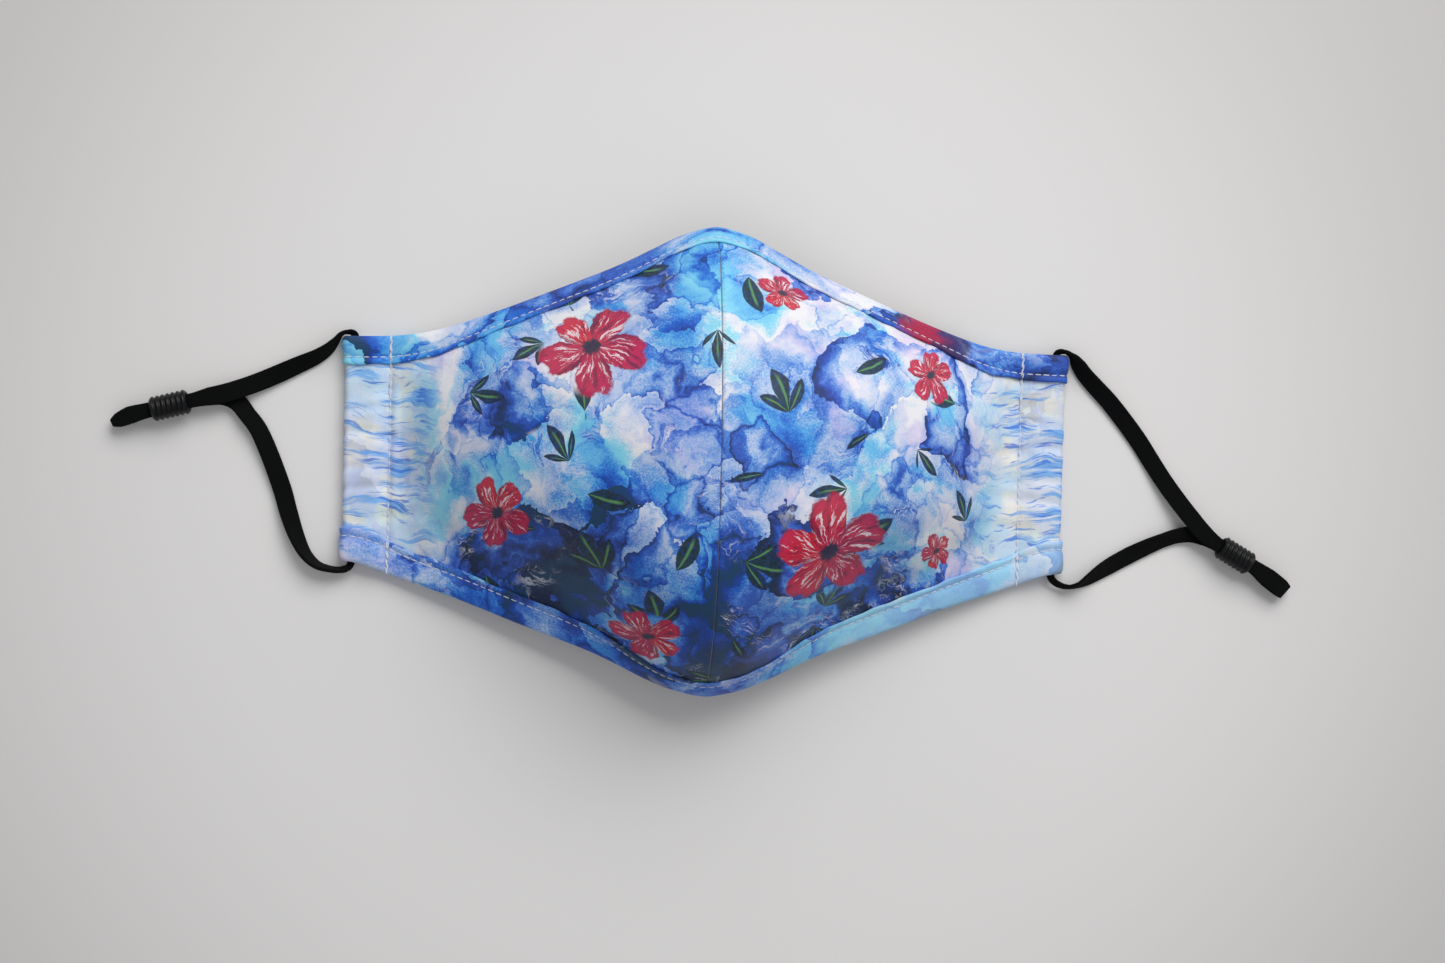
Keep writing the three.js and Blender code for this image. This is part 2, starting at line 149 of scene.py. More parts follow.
def linear(channel):
    return channel / 12.92 if channel <= 0.04045 else ((channel + 0.055) / 1.055) ** 2.4


def paint(shade):
    """A colour given as 0 to 255 on screen, as the linear colour of a socket."""
    return tuple(linear(channel / 255) for channel in shade) + (1.0,)


def operator(operation, swapped=False):
    """A method that adds the node for one piece of arithmetic."""
    def method(self, other):
        items = (other, self) if swapped else (self, other)
        return self.wiring.arithmetic(operation, *items)

    return method


class Signal:
    """A node's output. Arithmetic on it adds the nodes that work it out."""

    def __init__(self, wiring, socket):
        self.wiring = wiring
        self.socket = socket

    __add__ = operator("ADD")
    __sub__ = operator("SUBTRACT")
    __rsub__ = operator("SUBTRACT", True)
    __mul__ = operator("MULTIPLY")
    __truediv__ = operator("DIVIDE")
    __rtruediv__ = operator("DIVIDE", True)
    __pow__ = operator("POWER")

    def __abs__(self):
        return self.wiring.math("ABSOLUTE", self)


def is_number(item):
    return isinstance(item, float) or isinstance(item, Signal) and item.socket.type == "VALUE"


class Wiring:
    """Adds nodes to one tree and joins them. Its result is the tree's last inputs."""

    def __init__(self, tree, result):
        self.tree = tree
        self.result = result

    def put(self, sockets, items):
        """Joins or sets each item at the socket of its name or number."""
        for key, item in dict(items).items():
            if isinstance(item, Signal):
                self.tree.links.new(item.socket, sockets[key])
            else:
                sockets[key].default_value = item

    def give(self, **items):
        self.put(self.result, {key.replace("_", " "): item for key, item in items.items()})

    def add(self, kind, part, items=(), **settings):
        """A new node's output of the given name or number, or a dict of all its outputs."""
        node = self.tree.nodes.new(kind)
        for name, value in settings.items():
            setattr(node, name, value)
        self.put(node.inputs, items)
        if part is None:
            return {socket.name: Signal(self, socket) for socket in node.outputs}
        return Signal(self, node.outputs[part])

    def math(self, operation, *items):
        return self.add("ShaderNodeMath", 0, enumerate(items), operation=operation)

    def arithmetic(self, operation, first, second):
        """Works on numbers, on vectors, or on a vector that a number scales."""
        if is_number(first):
            return self.math(operation, first, second)
        if is_number(second):
            items = {0: first, "Scale": second}
            return self.add("ShaderNodeVectorMath", 0, items, operation="SCALE")
        return self.add("ShaderNodeVectorMath", 0, {0: first, 1: second}, operation=operation)

    def length(self, place):
        return self.add("ShaderNodeVectorMath", "Value", {0: place}, operation="LENGTH")

    def split(self, place):
        return list(self.add("ShaderNodeSeparateXYZ", None, {"Vector": place}).values())

    def joined(self, x, y, z=0.0):
        return self.add("ShaderNodeCombineXYZ", 0, {"X": x, "Y": y, "Z": z})

    def turned(self, place, angle):
        return self.add("ShaderNodeMapping", 0, {"Vector": place, "Rotation": (0, 0, angle)})

    def step(self, value, low, high):
        items = {"Value": value, "From Min": low, "From Max": high}
        return self.add("ShaderNodeMapRange", 0, items, interpolation_type="SMOOTHSTEP")

    def mix(self, share, first, second, blend="MIX"):
        items = {0: share}
        for number, shade in ((6, first), (7, second)):
            items[number] = shade if isinstance(shade, Signal) else paint(shade)
        return self.add("ShaderNodeMix", 2, items, data_type="RGBA", blend_type=blend)

    def coats(self, color, *rows):
        """The colour under further coats, each a share and a shade."""
        for share, shade in rows:
            color = self.mix(share, color, shade)
        return color

    def noise(self, place, size, detail=2.0, roughness=0.5, part="Fac"):
        items = {"Vector": place, "Scale": 1.0 / size, "Detail": detail, "Roughness": roughness}
        return self.add("ShaderNodeTexNoise", part, items)

    def drift(self, place, size, detail, roughness, amount):
        """An offset that wanders by up to half of the amount each way."""
        return (self.noise(place, size, detail, roughness, "Color") - (0.5, 0.5, 0.5)) * amount

    def cells(self, place, feature, randomness=1.0):
        items = {"Vector": place, "Scale": 1.0, "Randomness": randomness}
        return self.add("ShaderNodeTexVoronoi", None, items, feature=feature)

    def group(self, name, **items):
        return self.add("ShaderNodeGroup", None, items, node_tree=bpy.data.node_groups[name])

    def cloth_place(self):
        """The piece's own cloth map, in millimetres."""
        return self.add("ShaderNodeUVMap", "UV", uv_map="cloth") * 1000.0

    def solid_place(self):
        """The place in the piece, in millimetres."""
        return self.add("ShaderNodeTexCoord", "Object") * 1000.0

    def finished(self, color, relief, depth, strength, **items):
        """The material, with its colour and its relief, which is so many millimetres deep."""
        bump = {"Strength": strength, "Distance": depth * MM, "Height": relief}
        bump = self.add("ShaderNodeBump", "Normal", bump)
        self.give(Base_Color=color, Normal=bump, **items)
        return self.material


SOCKETS = {
    "v": "NodeSocketVector", "f": "NodeSocketFloat", "c": "NodeSocketColor",
    "g": "NodeSocketGeometry", "i": "NodeSocketInt", "m": "NodeSocketMaterial",
}


def start_group(name, inputs, outputs, kind="ShaderNodeTree"):
    """A group with its sockets given as label:type, and its inputs in the same order."""
    tree = bpy.data.node_groups.new(name, kind)
    for side, row in (("INPUT", inputs), ("OUTPUT", outputs)):
        for label, letter in (item.split(":") for item in row.split(", ")):
            tree.interface.new_socket(label, in_out=side, socket_type=SOCKETS[letter])
    given = tree.nodes.new("NodeGroupInput").outputs
    wiring = Wiring(tree, tree.nodes.new("NodeGroupOutput").inputs)
    return wiring, *(Signal(wiring, socket) for socket in given[:-1])


def start_material(name, roughness, sheen, specular):
    material = bpy.data.materials.new(name)
    material.use_nodes = True
    wiring = Wiring(material.node_tree, material.node_tree.nodes["Principled BSDF"].inputs)
    wiring.give(
        Roughness=roughness, Specular_IOR_Level=specular, Sheen_Weight=sheen, Sheen_Roughness=0.4
    )
    wiring.material = material
    return wiring


# ---- shared effects

LEAF_ANGLE = 0.78
PETAL_ANGLE = 2 * math.pi / 5


def build_plain_weave():
    """Threads that pass over and under each other, and the gaps between them."""
    w, place, thread = start_group("plain_weave", "Place:v, Thread:f", "Height:f, Gap:f")
    across, up, _ = w.split(place * (math.pi / thread))
    one = w.math("SINE", across)
    two = w.math("SINE", up)
    lift = one * two * 0.5 + 0.5
    w.give(
        Height=w.noise(place, 0.25, 2.0, 0.6) * 0.5 + lift,
        Gap=w.step(abs(one) * abs(two), 0.25, 0.0),
    )


def build_leaves():
    """A sprig of one or three pointed leaves on a short stalk."""
    w, offset, turn, sides, longest, fullness = start_group(
        "leaf_sprig", "Offset:v, Turn:f, Sides:f, Length:f, Fullness:f", "Mask:f, Vein:f, Along:f"
    )
    x, y, _ = w.split(offset)
    angle = w.math("WRAP", w.math("ARCTAN2", y, x) - turn, math.pi, -math.pi)
    count = w.math("MAXIMUM", w.math("ROUND", angle / LEAF_ANGLE), sides * -1.0)
    count = w.math("MINIMUM", count, sides)
    beside = angle - count * LEAF_ANGLE
    reach = w.length(offset)
    length = longest * (abs(count) * -0.22 + 1.0)
    along = reach * w.math("COSINE", beside) / length
    bow = along * (1.0 - along)
    aside = abs(reach * w.math("SINE", beside) / length + bow * 0.22)
    width = w.math("MAXIMUM", bow, 0.0) ** 0.85 * fullness
    leaf = w.step(width - aside, -0.004, 0.03) * w.math("GREATER_THAN", along, 0.0)
    behind = reach * w.math("COSINE", angle)
    stalk = w.step(abs(reach * w.math("SINE", angle)), 0.55, 0.2)
    stalk = stalk * w.step(behind, -4.6, -4.0) * w.math("LESS_THAN", behind, 0.4)
    w.give(
        Mask=w.math("MAXIMUM", leaf, stalk),
        Vein=w.step(aside, 0.05, 0.012) * w.step(along, 0.92, 0.7),
        Along=along,
    )


def build_blossom():
    """A painted blossom of five broad petals, each lapping the next, streaked from its eye."""
    w, offset, turn, radius = start_group(
        "painted_blossom", "Offset:v, Turn:f, Radius:f",
        "Mask:f, Along:f, Feather:f, Lap:f, Rim:f, Tint:f",
    )
    x, y, _ = w.split(offset + w.drift(offset, 5.0, 3.0, 0.6, 3.4))
    angle = w.math("WRAP", w.math("ARCTAN2", y, x) - turn, 2 * math.pi, 0.0) / PETAL_ANGLE
    petal = w.math("FLOOR", angle)
    beside = (angle - petal) * 2.0 - 1.0
    own = w.add("ShaderNodeTexWhiteNoise", "Value", {"Vector": w.joined(petal, turn, 3.0)})
    along = w.length(w.joined(x, y)) / (radius * (own * 0.20 + 0.90))
    notch = w.step(abs(beside - 0.1), 0.26, 0.0)
    outline = notch * -0.07 + (1.0 - abs(beside) ** 2.6 * 0.52)
    speck = w.noise(offset, 0.8, 3.0, 0.7) - 0.5
    edge = speck * 0.12 + (outline - along)
    curve = (along * 0.22 + angle) * PETAL_ANGLE
    ring = w.joined(
        w.math("COSINE", curve) * 8.0, w.math("SINE", curve) * 8.0, along * 1.9 + own * 9.0
    )
    w.give(
        Mask=w.step(edge, -0.02, 0.05), Along=along, Feather=w.noise(ring, 1.0, 5.0, 0.7),
        Lap=w.step(beside, 0.35, 1.0) * w.step(along, 0.15, 0.4),
        Rim=w.step(edge, 0.13, 0.02), Tint=own,
    )


# The wash from least pigment to most.
WASH_SHADES = (
    (0.12, (226, 226, 230)), (0.26, (202, 208, 228)), (0.37, (168, 190, 226)),
    (0.48, (120, 160, 218)), (0.59, (66, 122, 206)), (0.71, (42, 82, 180)),
    (0.85, (28, 58, 124)), (1.0, (18, 36, 72)),
)
# Pools in the wash: how much finer, shift, pigment and width of rim.
WASH_POOLS = ((1.0, (0.0, 0.0, 0.0), 0.62, 0.10), (2.1, (150.0, 70.0, 0.0), 0.34, 0.09))


def build_wash():
    """Wet watercolour: pigment that pools at ragged edges, fades inwards and granulates."""
    w, place, load, cell = start_group(
        "watercolour_wash", "Place:v, Load:f, Cell:f", "Color:c, Flow:v, Load:f"
    )
    flow = place
    for size, detail, amount in ((38.0, 2.0, 26.0), (11.0, 3.0, 13.0), (2.6, 3.0, 3.2)):
        flow = flow + w.drift(place, size, detail, 0.55, amount)
    speck = w.noise(place, 0.62, 3.0, 0.8) - 0.5
    load = (w.noise(flow + (91.0, 17.0, 5.0), 34.0, 2.0) - 0.5) * 1.55 + load
    load = (w.noise(flow + (13.0, 63.0, 9.0), 13.0, 6.0, 0.66) - 0.5) * 0.95 + load
    for finer, shift, amount, depth in WASH_POOLS:
        cell_place = (flow * finer + shift) * (1.0 / cell)
        edge = speck * 0.10 + w.cells(cell_place, "DISTANCE_TO_EDGE")["Distance"]
        own = w.split(w.cells(cell_place, "F1")["Color"])
        wet = w.step(edge, 0.42, 0.0) ** 1.5 * (own[0] * amount + amount * -0.42)
        rim = w.step(edge, depth, 0.0) * w.step(own[1], 0.35, 0.95)
        load = load + (rim * 0.22 + wet)
    middle = w.step(load, 0.16, 0.42) * w.step(load, 0.95, 0.6)
    load = speck * middle * 0.62 + load
    color = w.add("ShaderNodeValToRGB", "Color", {"Fac": load})
    band = color.socket.node.color_ramp.elements
    while len(band) < len(WASH_SHADES):
        band.new(0.5)
    for element, (at, shade) in zip(band, WASH_SHADES):
        element.position = at
        element.color = paint(shade)
    hue = speck * 0.22 + w.noise(flow + (47.0, 29.0, 3.0), 30.0, 3.0, 0.55)
    color = w.mix(w.step(hue, 0.48, 0.58) * 0.9, color, (122, 230, 255), "MULTIPLY")
    color = w.mix(w.step(hue, 0.45, 0.34) * 0.6, color, (238, 216, 250), "MULTIPLY")
    deep = w.step(load, 0.72, 1.0) * w.step(hue, 0.45, 0.56)
    w.give(Color=w.mix(deep * 0.6, color, (20, 74, 112)), Flow=flow, Load=load)


def build_streaks():
    """Dry-brush streaks that run across the cloth: broad soft ones, with thin ones among them."""
    w, place, size = start_group("brushed_streaks", "Place:v, Size:f", "Broad:f, Thin:f")
    x, y, _ = w.split(place * (1.0 / size))
    y = w.noise(place, 20.0, 2.0) * 8.0 + y
    gate = w.noise(w.joined(x * 0.3, y), 5.0, 2.0)
    broad = w.noise(w.joined(x * 0.12, y), 2.0, 5.0, 0.68)
    thin = w.noise(w.joined(x * 0.10, y + 31.0), 0.75, 3.0, 0.6)
    w.give(
        Broad=w.step(gate * 0.6 + broad, 0.80, 0.92), Thin=w.step(gate * 0.5 + thin, 0.83, 0.91)
    )


def build_combed():
    """Fine feathered lines combed along slow curves."""
    w, place, pitch = start_group("combed_lines", "Place:v, Pitch:f", "Mask:f")
    rows = w.noise(place, 42.0, 1.0, 0.4) * 90.0 / pitch
    x, y, _ = w.split(place * 0.12)
    w.give(Mask=w.step(w.noise(w.joined(rows, x, y), 1.0, 4.0, 0.65), 0.50, 0.66))


for build in (
    build_plain_weave, build_leaves, build_blossom, build_wash, build_streaks, build_combed
):
    build()


# ---- materials

# Painted blossoms: place on the cloth across and up, radius and turn.
BLOSSOMS = (
    (-41.0, 40.0, 17.5, 0.4),
    (36.0, -26.0, 20.0, 1.0),
    (76.0, 33.0, 11.0, 2.1),
    (-74.0, -16.0, 13.5, 1.5),
    (-20.0, -60.0, 12.0, 2.7),
    (20.0, 62.0, 9.0, 0.9),
    (82.0, -29.0, 8.0, 0.2),
)
# Leaf sprigs: the spacing and turn of the lattice that they are scattered over.
SPRIG_SPACING = 27.0
SPRIG_LATTICE_TURN = 0.48
CLOTH_THREAD = 0.42
CLOTH_RELIEF = 0.12


def woven(w, place, color):
    """The colour with painted shade in the gaps of the weave, and the height of the threads."""
    weave = w.group("plain_weave", Place=place, Thread=CLOTH_THREAD)
    return w.mix(weave["Gap"] * 0.16, color, (60, 64, 96), "MULTIPLY"), weave["Height"]


def leaf_sprigs(w, place, flow):
    """Sprigs scattered over the cloth: where they are, and their colour."""
    spaced = w.turned(place + (flow - place) * 0.12, SPRIG_LATTICE_TURN) * (1 / SPRIG_SPACING)
    scatter = w.cells(spaced, "F1", 0.4)
    chance = w.split(scatter["Color"])
    turn = chance[0] * (2 * math.pi)
    shift = w.joined(w.math("COSINE", turn), w.math("SINE", turn)) * 7.0
    leaf = w.group(
        "leaf_sprig", Offset=(spaced - scatter["Position"]) * SPRIG_SPACING + shift, Turn=turn,
        Sides=w.math("ROUND", chance[1] * 1.2), Length=chance[1] * 3.0 + 14.0, Fullness=0.80,
    )
    home = w.turned(scatter["Position"] * SPRIG_SPACING, -SPRIG_LATTICE_TURN)
    near = w.math("LESS_THAN", abs(w.split(home)[0]), 93.0)
    present = w.math("GREATER_THAN", chance[2], 0.22) * near
    mottle = w.step(w.noise(place, 1.6, 3.0, 0.7), 0.42, 0.62)
    color = w.coats(
        w.mix(mottle, (10, 28, 34), (22, 52, 110)),
        (w.step(leaf["Along"], 0.95, 0.3) * 0.5, (16, 60, 56)),
        (leaf["Vein"] * 0.8, (92, 150, 84)),
    )
    return leaf["Mask"] * present * 0.97, color


def blossom_color(w, place, bloom):
    """Crimson petals with pale and dark streaks, a dark lap and rim, and a dark eye."""
    along, feather = bloom["Along"], bloom["Feather"]
    light = w.step(along, 0.1, 0.45) * 0.05 + feather
    light = w.step(along, 0.6, 0.95) * -0.10 + light
    eye = w.noise(place, 1.4, 2.0) * 0.16 + along
    return w.coats(
        w.mix(bloom["Tint"], (196, 6, 30), (178, 10, 70)),
        (w.step(along, 0.6, 1.05) * 0.5, (206, 44, 98)),
        (w.step(light, 0.585, 0.625) * 0.92, (230, 214, 222)),
        (w.step(feather, 0.46, 0.37) * 0.85, (92, 6, 58)),
        (bloom["Lap"] * 0.65, (92, 8, 52)),
        (bloom["Rim"] * 0.6, (142, 8, 52)),
        (w.step(eye, 0.30, 0.20), (34, 16, 50)),
    )


def printed_cloth():
    """The cup's cloth: a blue wash with sprigs and blossoms, paler towards the casings."""
    w = start_material("printed_cup_cloth", 0.6, 0.15, 0.35)
    place = w.cloth_place()
    across, up, _ = w.split(place)
    aside = abs(across)
    drawn = place + w.drift(place, 9.0, 3.0, 0.5, 2.5)
    blooms = []
    clear = 0.0
    for bloom_across, bloom_up, radius, turn in BLOSSOMS:
        offset = drawn - (bloom_across, bloom_up, 0.0)
        blooms.append(w.group("painted_blossom", Offset=offset, Turn=turn, Radius=radius))
        clear = w.math("MAXIMUM", clear, w.step(blooms[-1]["Along"], 1.5, 0.8))

    load = w.step(aside, 114.0, 58.0) * (w.step(up, 36.0, -80.0) * 0.34 + 0.16)
    load = clear * -0.16 + (load + 0.21)
    wash = w.group("watercolour_wash", Place=place, Load=load, Cell=29.0)
    combed = w.group("combed_lines", Place=wash["Flow"], Pitch=1.1)["Mask"]
    combed = combed * w.step(w.noise(place, 24.0, 2.0), 0.50, 0.62)
    combed = combed * w.step(wash["Load"], 0.30, 0.50)
    cream = w.step(w.noise(place, 14.0, 3.0, 0.6), 0.50, 0.62)
    streaks = w.group("brushed_streaks", Place=place, Size=1.5)
    color = w.coats(
        wash["Color"],
        (combed * 0.75, (222, 226, 236)),
        (w.step(aside, 92.0, 118.0) * 0.75, w.mix(cream, (206, 216, 232), (226, 224, 212))),
        (streaks["Broad"] * w.step(aside, 94.0, 110.0) * 0.8, (88, 160, 228)),
        (streaks["Thin"] * w.step(aside, 96.0, 112.0) * 0.75, (32, 106, 210)),
    )

    sprigs, green = leaf_sprigs(w, place, wash["Flow"])
    for bloom in blooms:
        sprigs = sprigs * w.step(bloom["Along"], 0.8, 0.98)
    color = w.mix(sprigs, color, green)
    for bloom in blooms:
        color = w.mix(bloom["Mask"] * 0.96, color, blossom_color(w, place, bloom))

    color, threads = woven(w, place, color)
    gaping = w.step(w.noise(w.joined(0.0, up), 11.0, 2.0), 0.36, 0.60)
    gaping = w.math("MAXIMUM", gaping, w.step(up, 46.0, 58.0))
    seam = w.step(aside, 0.30, 0.10) * gaping
    from_prick = w.length(w.joined(aside - 0.85, w.math("WRAP", up, 1.1, -1.1)))
    prick = w.step(from_prick, 0.26, 0.1) * 0.5
    color = w.mix(w.math("MAXIMUM", seam * 0.45, prick), color, (36, 38, 58))
    rough = w.noise(place, 5.0, 3.0) * 0.14 + 0.52
    relief = w.noise(place, 3.2, 3.0) * 0.7 + (threads * 0.35 - prick)
    return w.finished(color, relief, CLOTH_RELIEF, 0.8, Roughness=rough)


def binding_cloth(name, loads, shift, red_from=None, pale_from=None):
    """A strip cut from the same wash, without its sprigs and blossoms."""
    w = start_material(name, 0.6, 0.15, 0.35)
    place = w.cloth_place()
    across = w.split(place)[0]
    moved = place * (0.8, 1.1, 1.0) + shift
    load = loads[0][1]
    for (start, before), (finish, after) in zip(loads, loads[1:]):
        load = w.step(across, start, finish) * (after - before) + load
    color = w.group("watercolour_wash", Place=moved, Load=load, Cell=36.0)["Color"]
    combed = w.group("combed_lines", Place=moved, Pitch=1.5)["Mask"]
    combed = combed * w.step(w.noise(moved, 16.0, 2.0), 0.50, 0.65)
    color = w.mix(combed * 0.30, color, (210, 222, 240))
    if red_from:
        start, finish = red_from
        soft = (w.noise(moved, 7.0, 4.0) - 0.5) * 22.0 + across
        red = w.step(soft, start - 4.0, start + 4.0) * w.step(soft, finish + 4.0, finish - 4.0)
        dark = w.step(abs(soft - (finish + 3.0)), 9.0, 3.0)
        color = w.coats(color, (red * 0.95, (162, 12, 62)), (dark * 0.85, (40, 24, 84)))
    if pale_from:
        color = w.mix(w.step(across, *pale_from) * 0.5, color, (172, 208, 232))
    color, threads = woven(w, place, color)
    return w.finished(color, threads * 0.35 + w.noise(place, 3.0, 3.0), CLOTH_RELIEF, 0.8)


def back_cloth():
    """The unprinted back of the cloth."""
    w = start_material("plain_back_cloth", 0.8, 0.2, 0.2)
    place = w.cloth_place()
    weave = w.group("plain_weave", Place=place, Thread=0.5)
    cloud = w.step(w.noise(place, 12.0, 3.0), 0.3, 0.7)
    color = w.mix(cloud, (226, 228, 236), (236, 237, 242))
    # Painted shade in the gaps between the threads.
    color = w.mix(weave["Gap"] * 0.3, color, (160, 162, 176), "MULTIPLY")
    return w.finished(color, weave["Height"], 0.08, 0.7)


def sewing_thread():
    w = start_material("white_sewing_thread", 0.55, 0.3, 0.4)
    x, y, z = w.split(w.solid_place())
    twist = w.math("SINE", (x + y + z) * 14.0)
    # The thread is painted lighter on the crests of its twist and darker in its grooves: painted
    # highlight and painted shade.
    color = w.mix(w.step(twist, -1.0, 1.0), (186, 188, 206), (224, 225, 236))
    return w.finished(color, twist, 0.04, 0.6)


def knitted_elastic():
    """Flat knit: rows of small V stitches between lengthwise ribs."""
    w = start_material("black_knitted_elastic", 0.9, 0.02, 0.08)
    place = w.cloth_place()
    along, around, _ = w.split(place)
    rib = abs(w.math("SINE", around * (2 * math.pi / 0.75)))
    stitch = w.math("SINE", (rib * 0.45 + along) * (2 * math.pi / 0.8))
    knit = stitch * 0.5 + rib * 0.8
    lint = w.noise(place, 0.4, 3.0, 0.7)
    # The raised stitches and ribs are painted lighter and the hollows between them darker:
    # painted highlight and painted shade.
    color = w.mix(w.step(knit, -0.3, 1.2), (4, 5, 5), (14, 15, 16))
    color = w.mix(w.step(lint, 0.6, 0.8) * 0.3, color, (38, 39, 42))
    return w.finished(color, lint * 0.6 + knit, 0.12, 0.9)


def moulded_silicone():
    w = start_material("dark_grey_silicone", 0.5, 0.0, 0.24)
    place = w.solid_place()
    cloud = w.noise(place, 3.0, 3.0)
    dust = w.step(w.noise(place, 0.35, 2.0), 0.62, 0.75)
    color = w.mix(dust * 0.08, w.mix(cloud, (6, 7, 8), (10, 11, 13)), (96, 98, 104))
    grain = w.noise(place, 0.3, 2.0)
    return w.finished(color, grain, 0.03, 0.5, Roughness=cloud * 0.14 + 0.26)


def table_top():
    """A pale table, lit most in the middle."""
    w = start_material("pale_table", 0.75, 0.0, 0.2)
    place = w.solid_place()
    cloud = w.mix(w.noise(place, 500.0, 2.0), (214, 213, 213), (220, 219, 217))
    edge = w.step(w.length(place - (-5.0, -40.0, 0.0)), 130.0, 360.0)
    w.give(Base_Color=w.mix(edge, cloud, (183, 181, 179)))
    return w.material


# ---- the cloth's shape


def smooth_through(places, values):
    """A cubic spline through the values, free at its first end and level at its last."""
    gaps = np.diff(places)
    slopes = np.diff(values) / gaps
    count = len(places)
    system = np.zeros((count, count))
    change = np.zeros(count)
    system[0, 0] = 1
    for i in range(1, count - 1):
        system[i, i - 1:i + 2] = gaps[i - 1], 2 * (gaps[i - 1] + gaps[i]), gaps[i]
        change[i] = 6 * (slopes[i] - slopes[i - 1])
    system[-1, -2:] = gaps[-1], 2 * gaps[-1]
    change[-1] = -6 * slopes[-1]
    bend = np.linalg.solve(system, change)

    def value_at(place):
        i = np.clip(np.searchsorted(places, place, side="right") - 1, 0, count - 2)
        right = (place - places[i]) / gaps[i]
        left = 1 - right
        curl = ((left ** 3 - left) * bend[i] + (right ** 3 - right) * bend[i + 1]) / 6
        return left * values[i] + right * values[i + 1] + curl * gaps[i] ** 2

    return value_at


SECTIONS = np.array(CUP_SECTIONS, float)
COLUMN = {
    name: smooth_through(SECTIONS[:, 0], SECTIONS[:, i])
    for i, name in enumerate(SECTION_COLUMNS)
}


def eased(value, low, high):
    share = np.clip((value - low) / (high - low), 0, 1)
    return share * share * (3 - 2 * share)


def unit(vectors):
    return vectors / np.linalg.norm(vectors, axis=-1, keepdims=True)


def lengths_along(line):
    """How far along a line each of its points lies."""
    return np.append(0, np.cumsum(np.linalg.norm(np.diff(line, axis=0), axis=1)))


def ripple(place, *waves):
    """A sum of waves, each a length, a start and a height."""
    return sum(high * np.sin(2 * np.pi * place / long + start) for long, start, high in waves)


def spread(low, high, gap):
    return np.linspace(low, high, max(2, int(round((high - low) / gap)) + 1))


def cloth_path(run):
    """How far across the cloth is, and its height where a casing holds it level."""
    puff = eased(run, STITCH_ACROSS, STITCH_ACROSS + PUFF_LENGTH)
    turn = np.clip((run - FOLD_CENTRE) / FOLD_RADIUS, 0, math.pi)
    across = np.where(run < FOLD_CENTRE, run, FOLD_CENTRE + FOLD_RADIUS * np.sin(turn))
    across = np.where(run > HEM_START_RUN, HEM_START_RUN + FOLD_CENTRE - run, across)
    front = FLAT_HEIGHT + (FRONT_HEIGHT - FLAT_HEIGHT) * puff
    round_fold = HEM_HEIGHT + FOLD_RADIUS * (1 + np.cos(turn))
    return across, np.where(run < FOLD_CENTRE, front, round_fold), run >= STITCH_ACROSS


def spline_weights(places):
    """Weights of six control points along a clamped cubic curve."""
    knots = [0, 0, 0, 0, 1 / 3, 2 / 3, 1, 1, 1, 1]
    weights = [((places >= a) & (places < b)).astype(float) for a, b in zip(knots, knots[1:])]
    for degree in (1, 2, 3):
        raised = []
        for i in range(len(weights) - 1):
            total = np.zeros_like(places)
            first, after = knots[i:i + 2]
            before, last = knots[i + degree:i + degree + 2]
            if before > first:
                total += weights[i] * (places - first) / (before - first)
            if last > after:
                total += weights[i + 1] * (last - places) / (last - after)
            raised.append(total)
        weights = raised
    return np.array(weights).T


SECTION_STEPS = 320
WEIGHTS = spline_weights(np.append(np.linspace(0, 1, SECTION_STEPS)[:-1], 1 - 1e-9))


def section_lines(runs):
    """For each run: how far across it is, its section's points in Y and Z, their lengths."""
    across, height, level = cloth_path(runs)
    value = {name: column(across) for name, column in COLUMN.items()}
    crown = np.where(level, height, value["crown"])
    controls = np.zeros((len(runs), 6, 2))
    for edge, inward, near, beside in (("bottom", 1, 0, 1), ("top", -1, 5, 4)):
        rise = np.where(level, 0, np.radians(value[edge + "_rise"]))
        reach = value[edge + "_reach"]
        low = np.where(level, height, value[edge + "_z"])
        controls[:, near] = np.stack((value[edge + "_y"], low), 1)
        controls[:, beside, 0] = value[edge + "_y"] + inward * reach * np.cos(rise)
        controls[:, beside, 1] = low + reach * np.sin(rise)
    controls[:, 2] = np.stack((value["bottom_shoulder"], crown), 1)
    controls[:, 3] = np.stack((value["top_shoulder"], crown), 1)
    lines = np.einsum("pc,rcd->rpd", WEIGHTS, controls)
    steps = np.linalg.norm(np.diff(lines, axis=1), axis=2)
    lengths = np.concatenate((np.zeros((len(runs), 1)), np.cumsum(steps, axis=1)), 1)
    return across, lines, lengths


def fold_depth(across, up, from_edge):
    reach = eased(from_edge, BINDING_WIDTH, 2 * BINDING_WIDTH)
    reach = reach * eased(across, 0, SEAM_FADE)
    reach = reach * eased(STITCH_ACROSS - across, 1, 1 + CASING_FADE)
    depth = 0
    for fold_across, fold_up, half_length, half_width, degrees, deep in SOFT_FOLDS:
        turn = math.radians(degrees)
        dx, dy = across - fold_across, up - fold_up
        along = (dx * math.cos(turn) + dy * math.sin(turn)) / half_length
        beside = (dy * math.cos(turn) - dx * math.sin(turn)) / half_width
        depth = depth + deep * np.exp(-along * along - beside * beside)
    return depth * reach


def face_points(runs, heights):
    """Points of the outer face: for each run, a row of lengths up its section."""
    across, lines, lengths = section_lines(runs)
    points = np.zeros(heights.shape + (3,))
    for i in range(len(runs)):
        total = lengths[i, -1]
        up = np.clip(heights[i], 0, total)
        y = np.interp(up, lengths[i], lines[i, :, 0])
        z = np.interp(up, lengths[i], lines[i, :, 1])
        if runs[i] < STITCH_ACROSS:
            z = z - fold_depth(across[i], y, np.minimum(up, total - up))
        points[i] = np.stack((np.full_like(y, across[i]), y, z), -1)
    return points


def section_lengths(runs):
    return section_lines(runs)[2][:, -1]


# How far apart the points that give a slope are, and how near the seam it stays level.
PROBE = 0.25
SEAM_LEVEL = 0.3


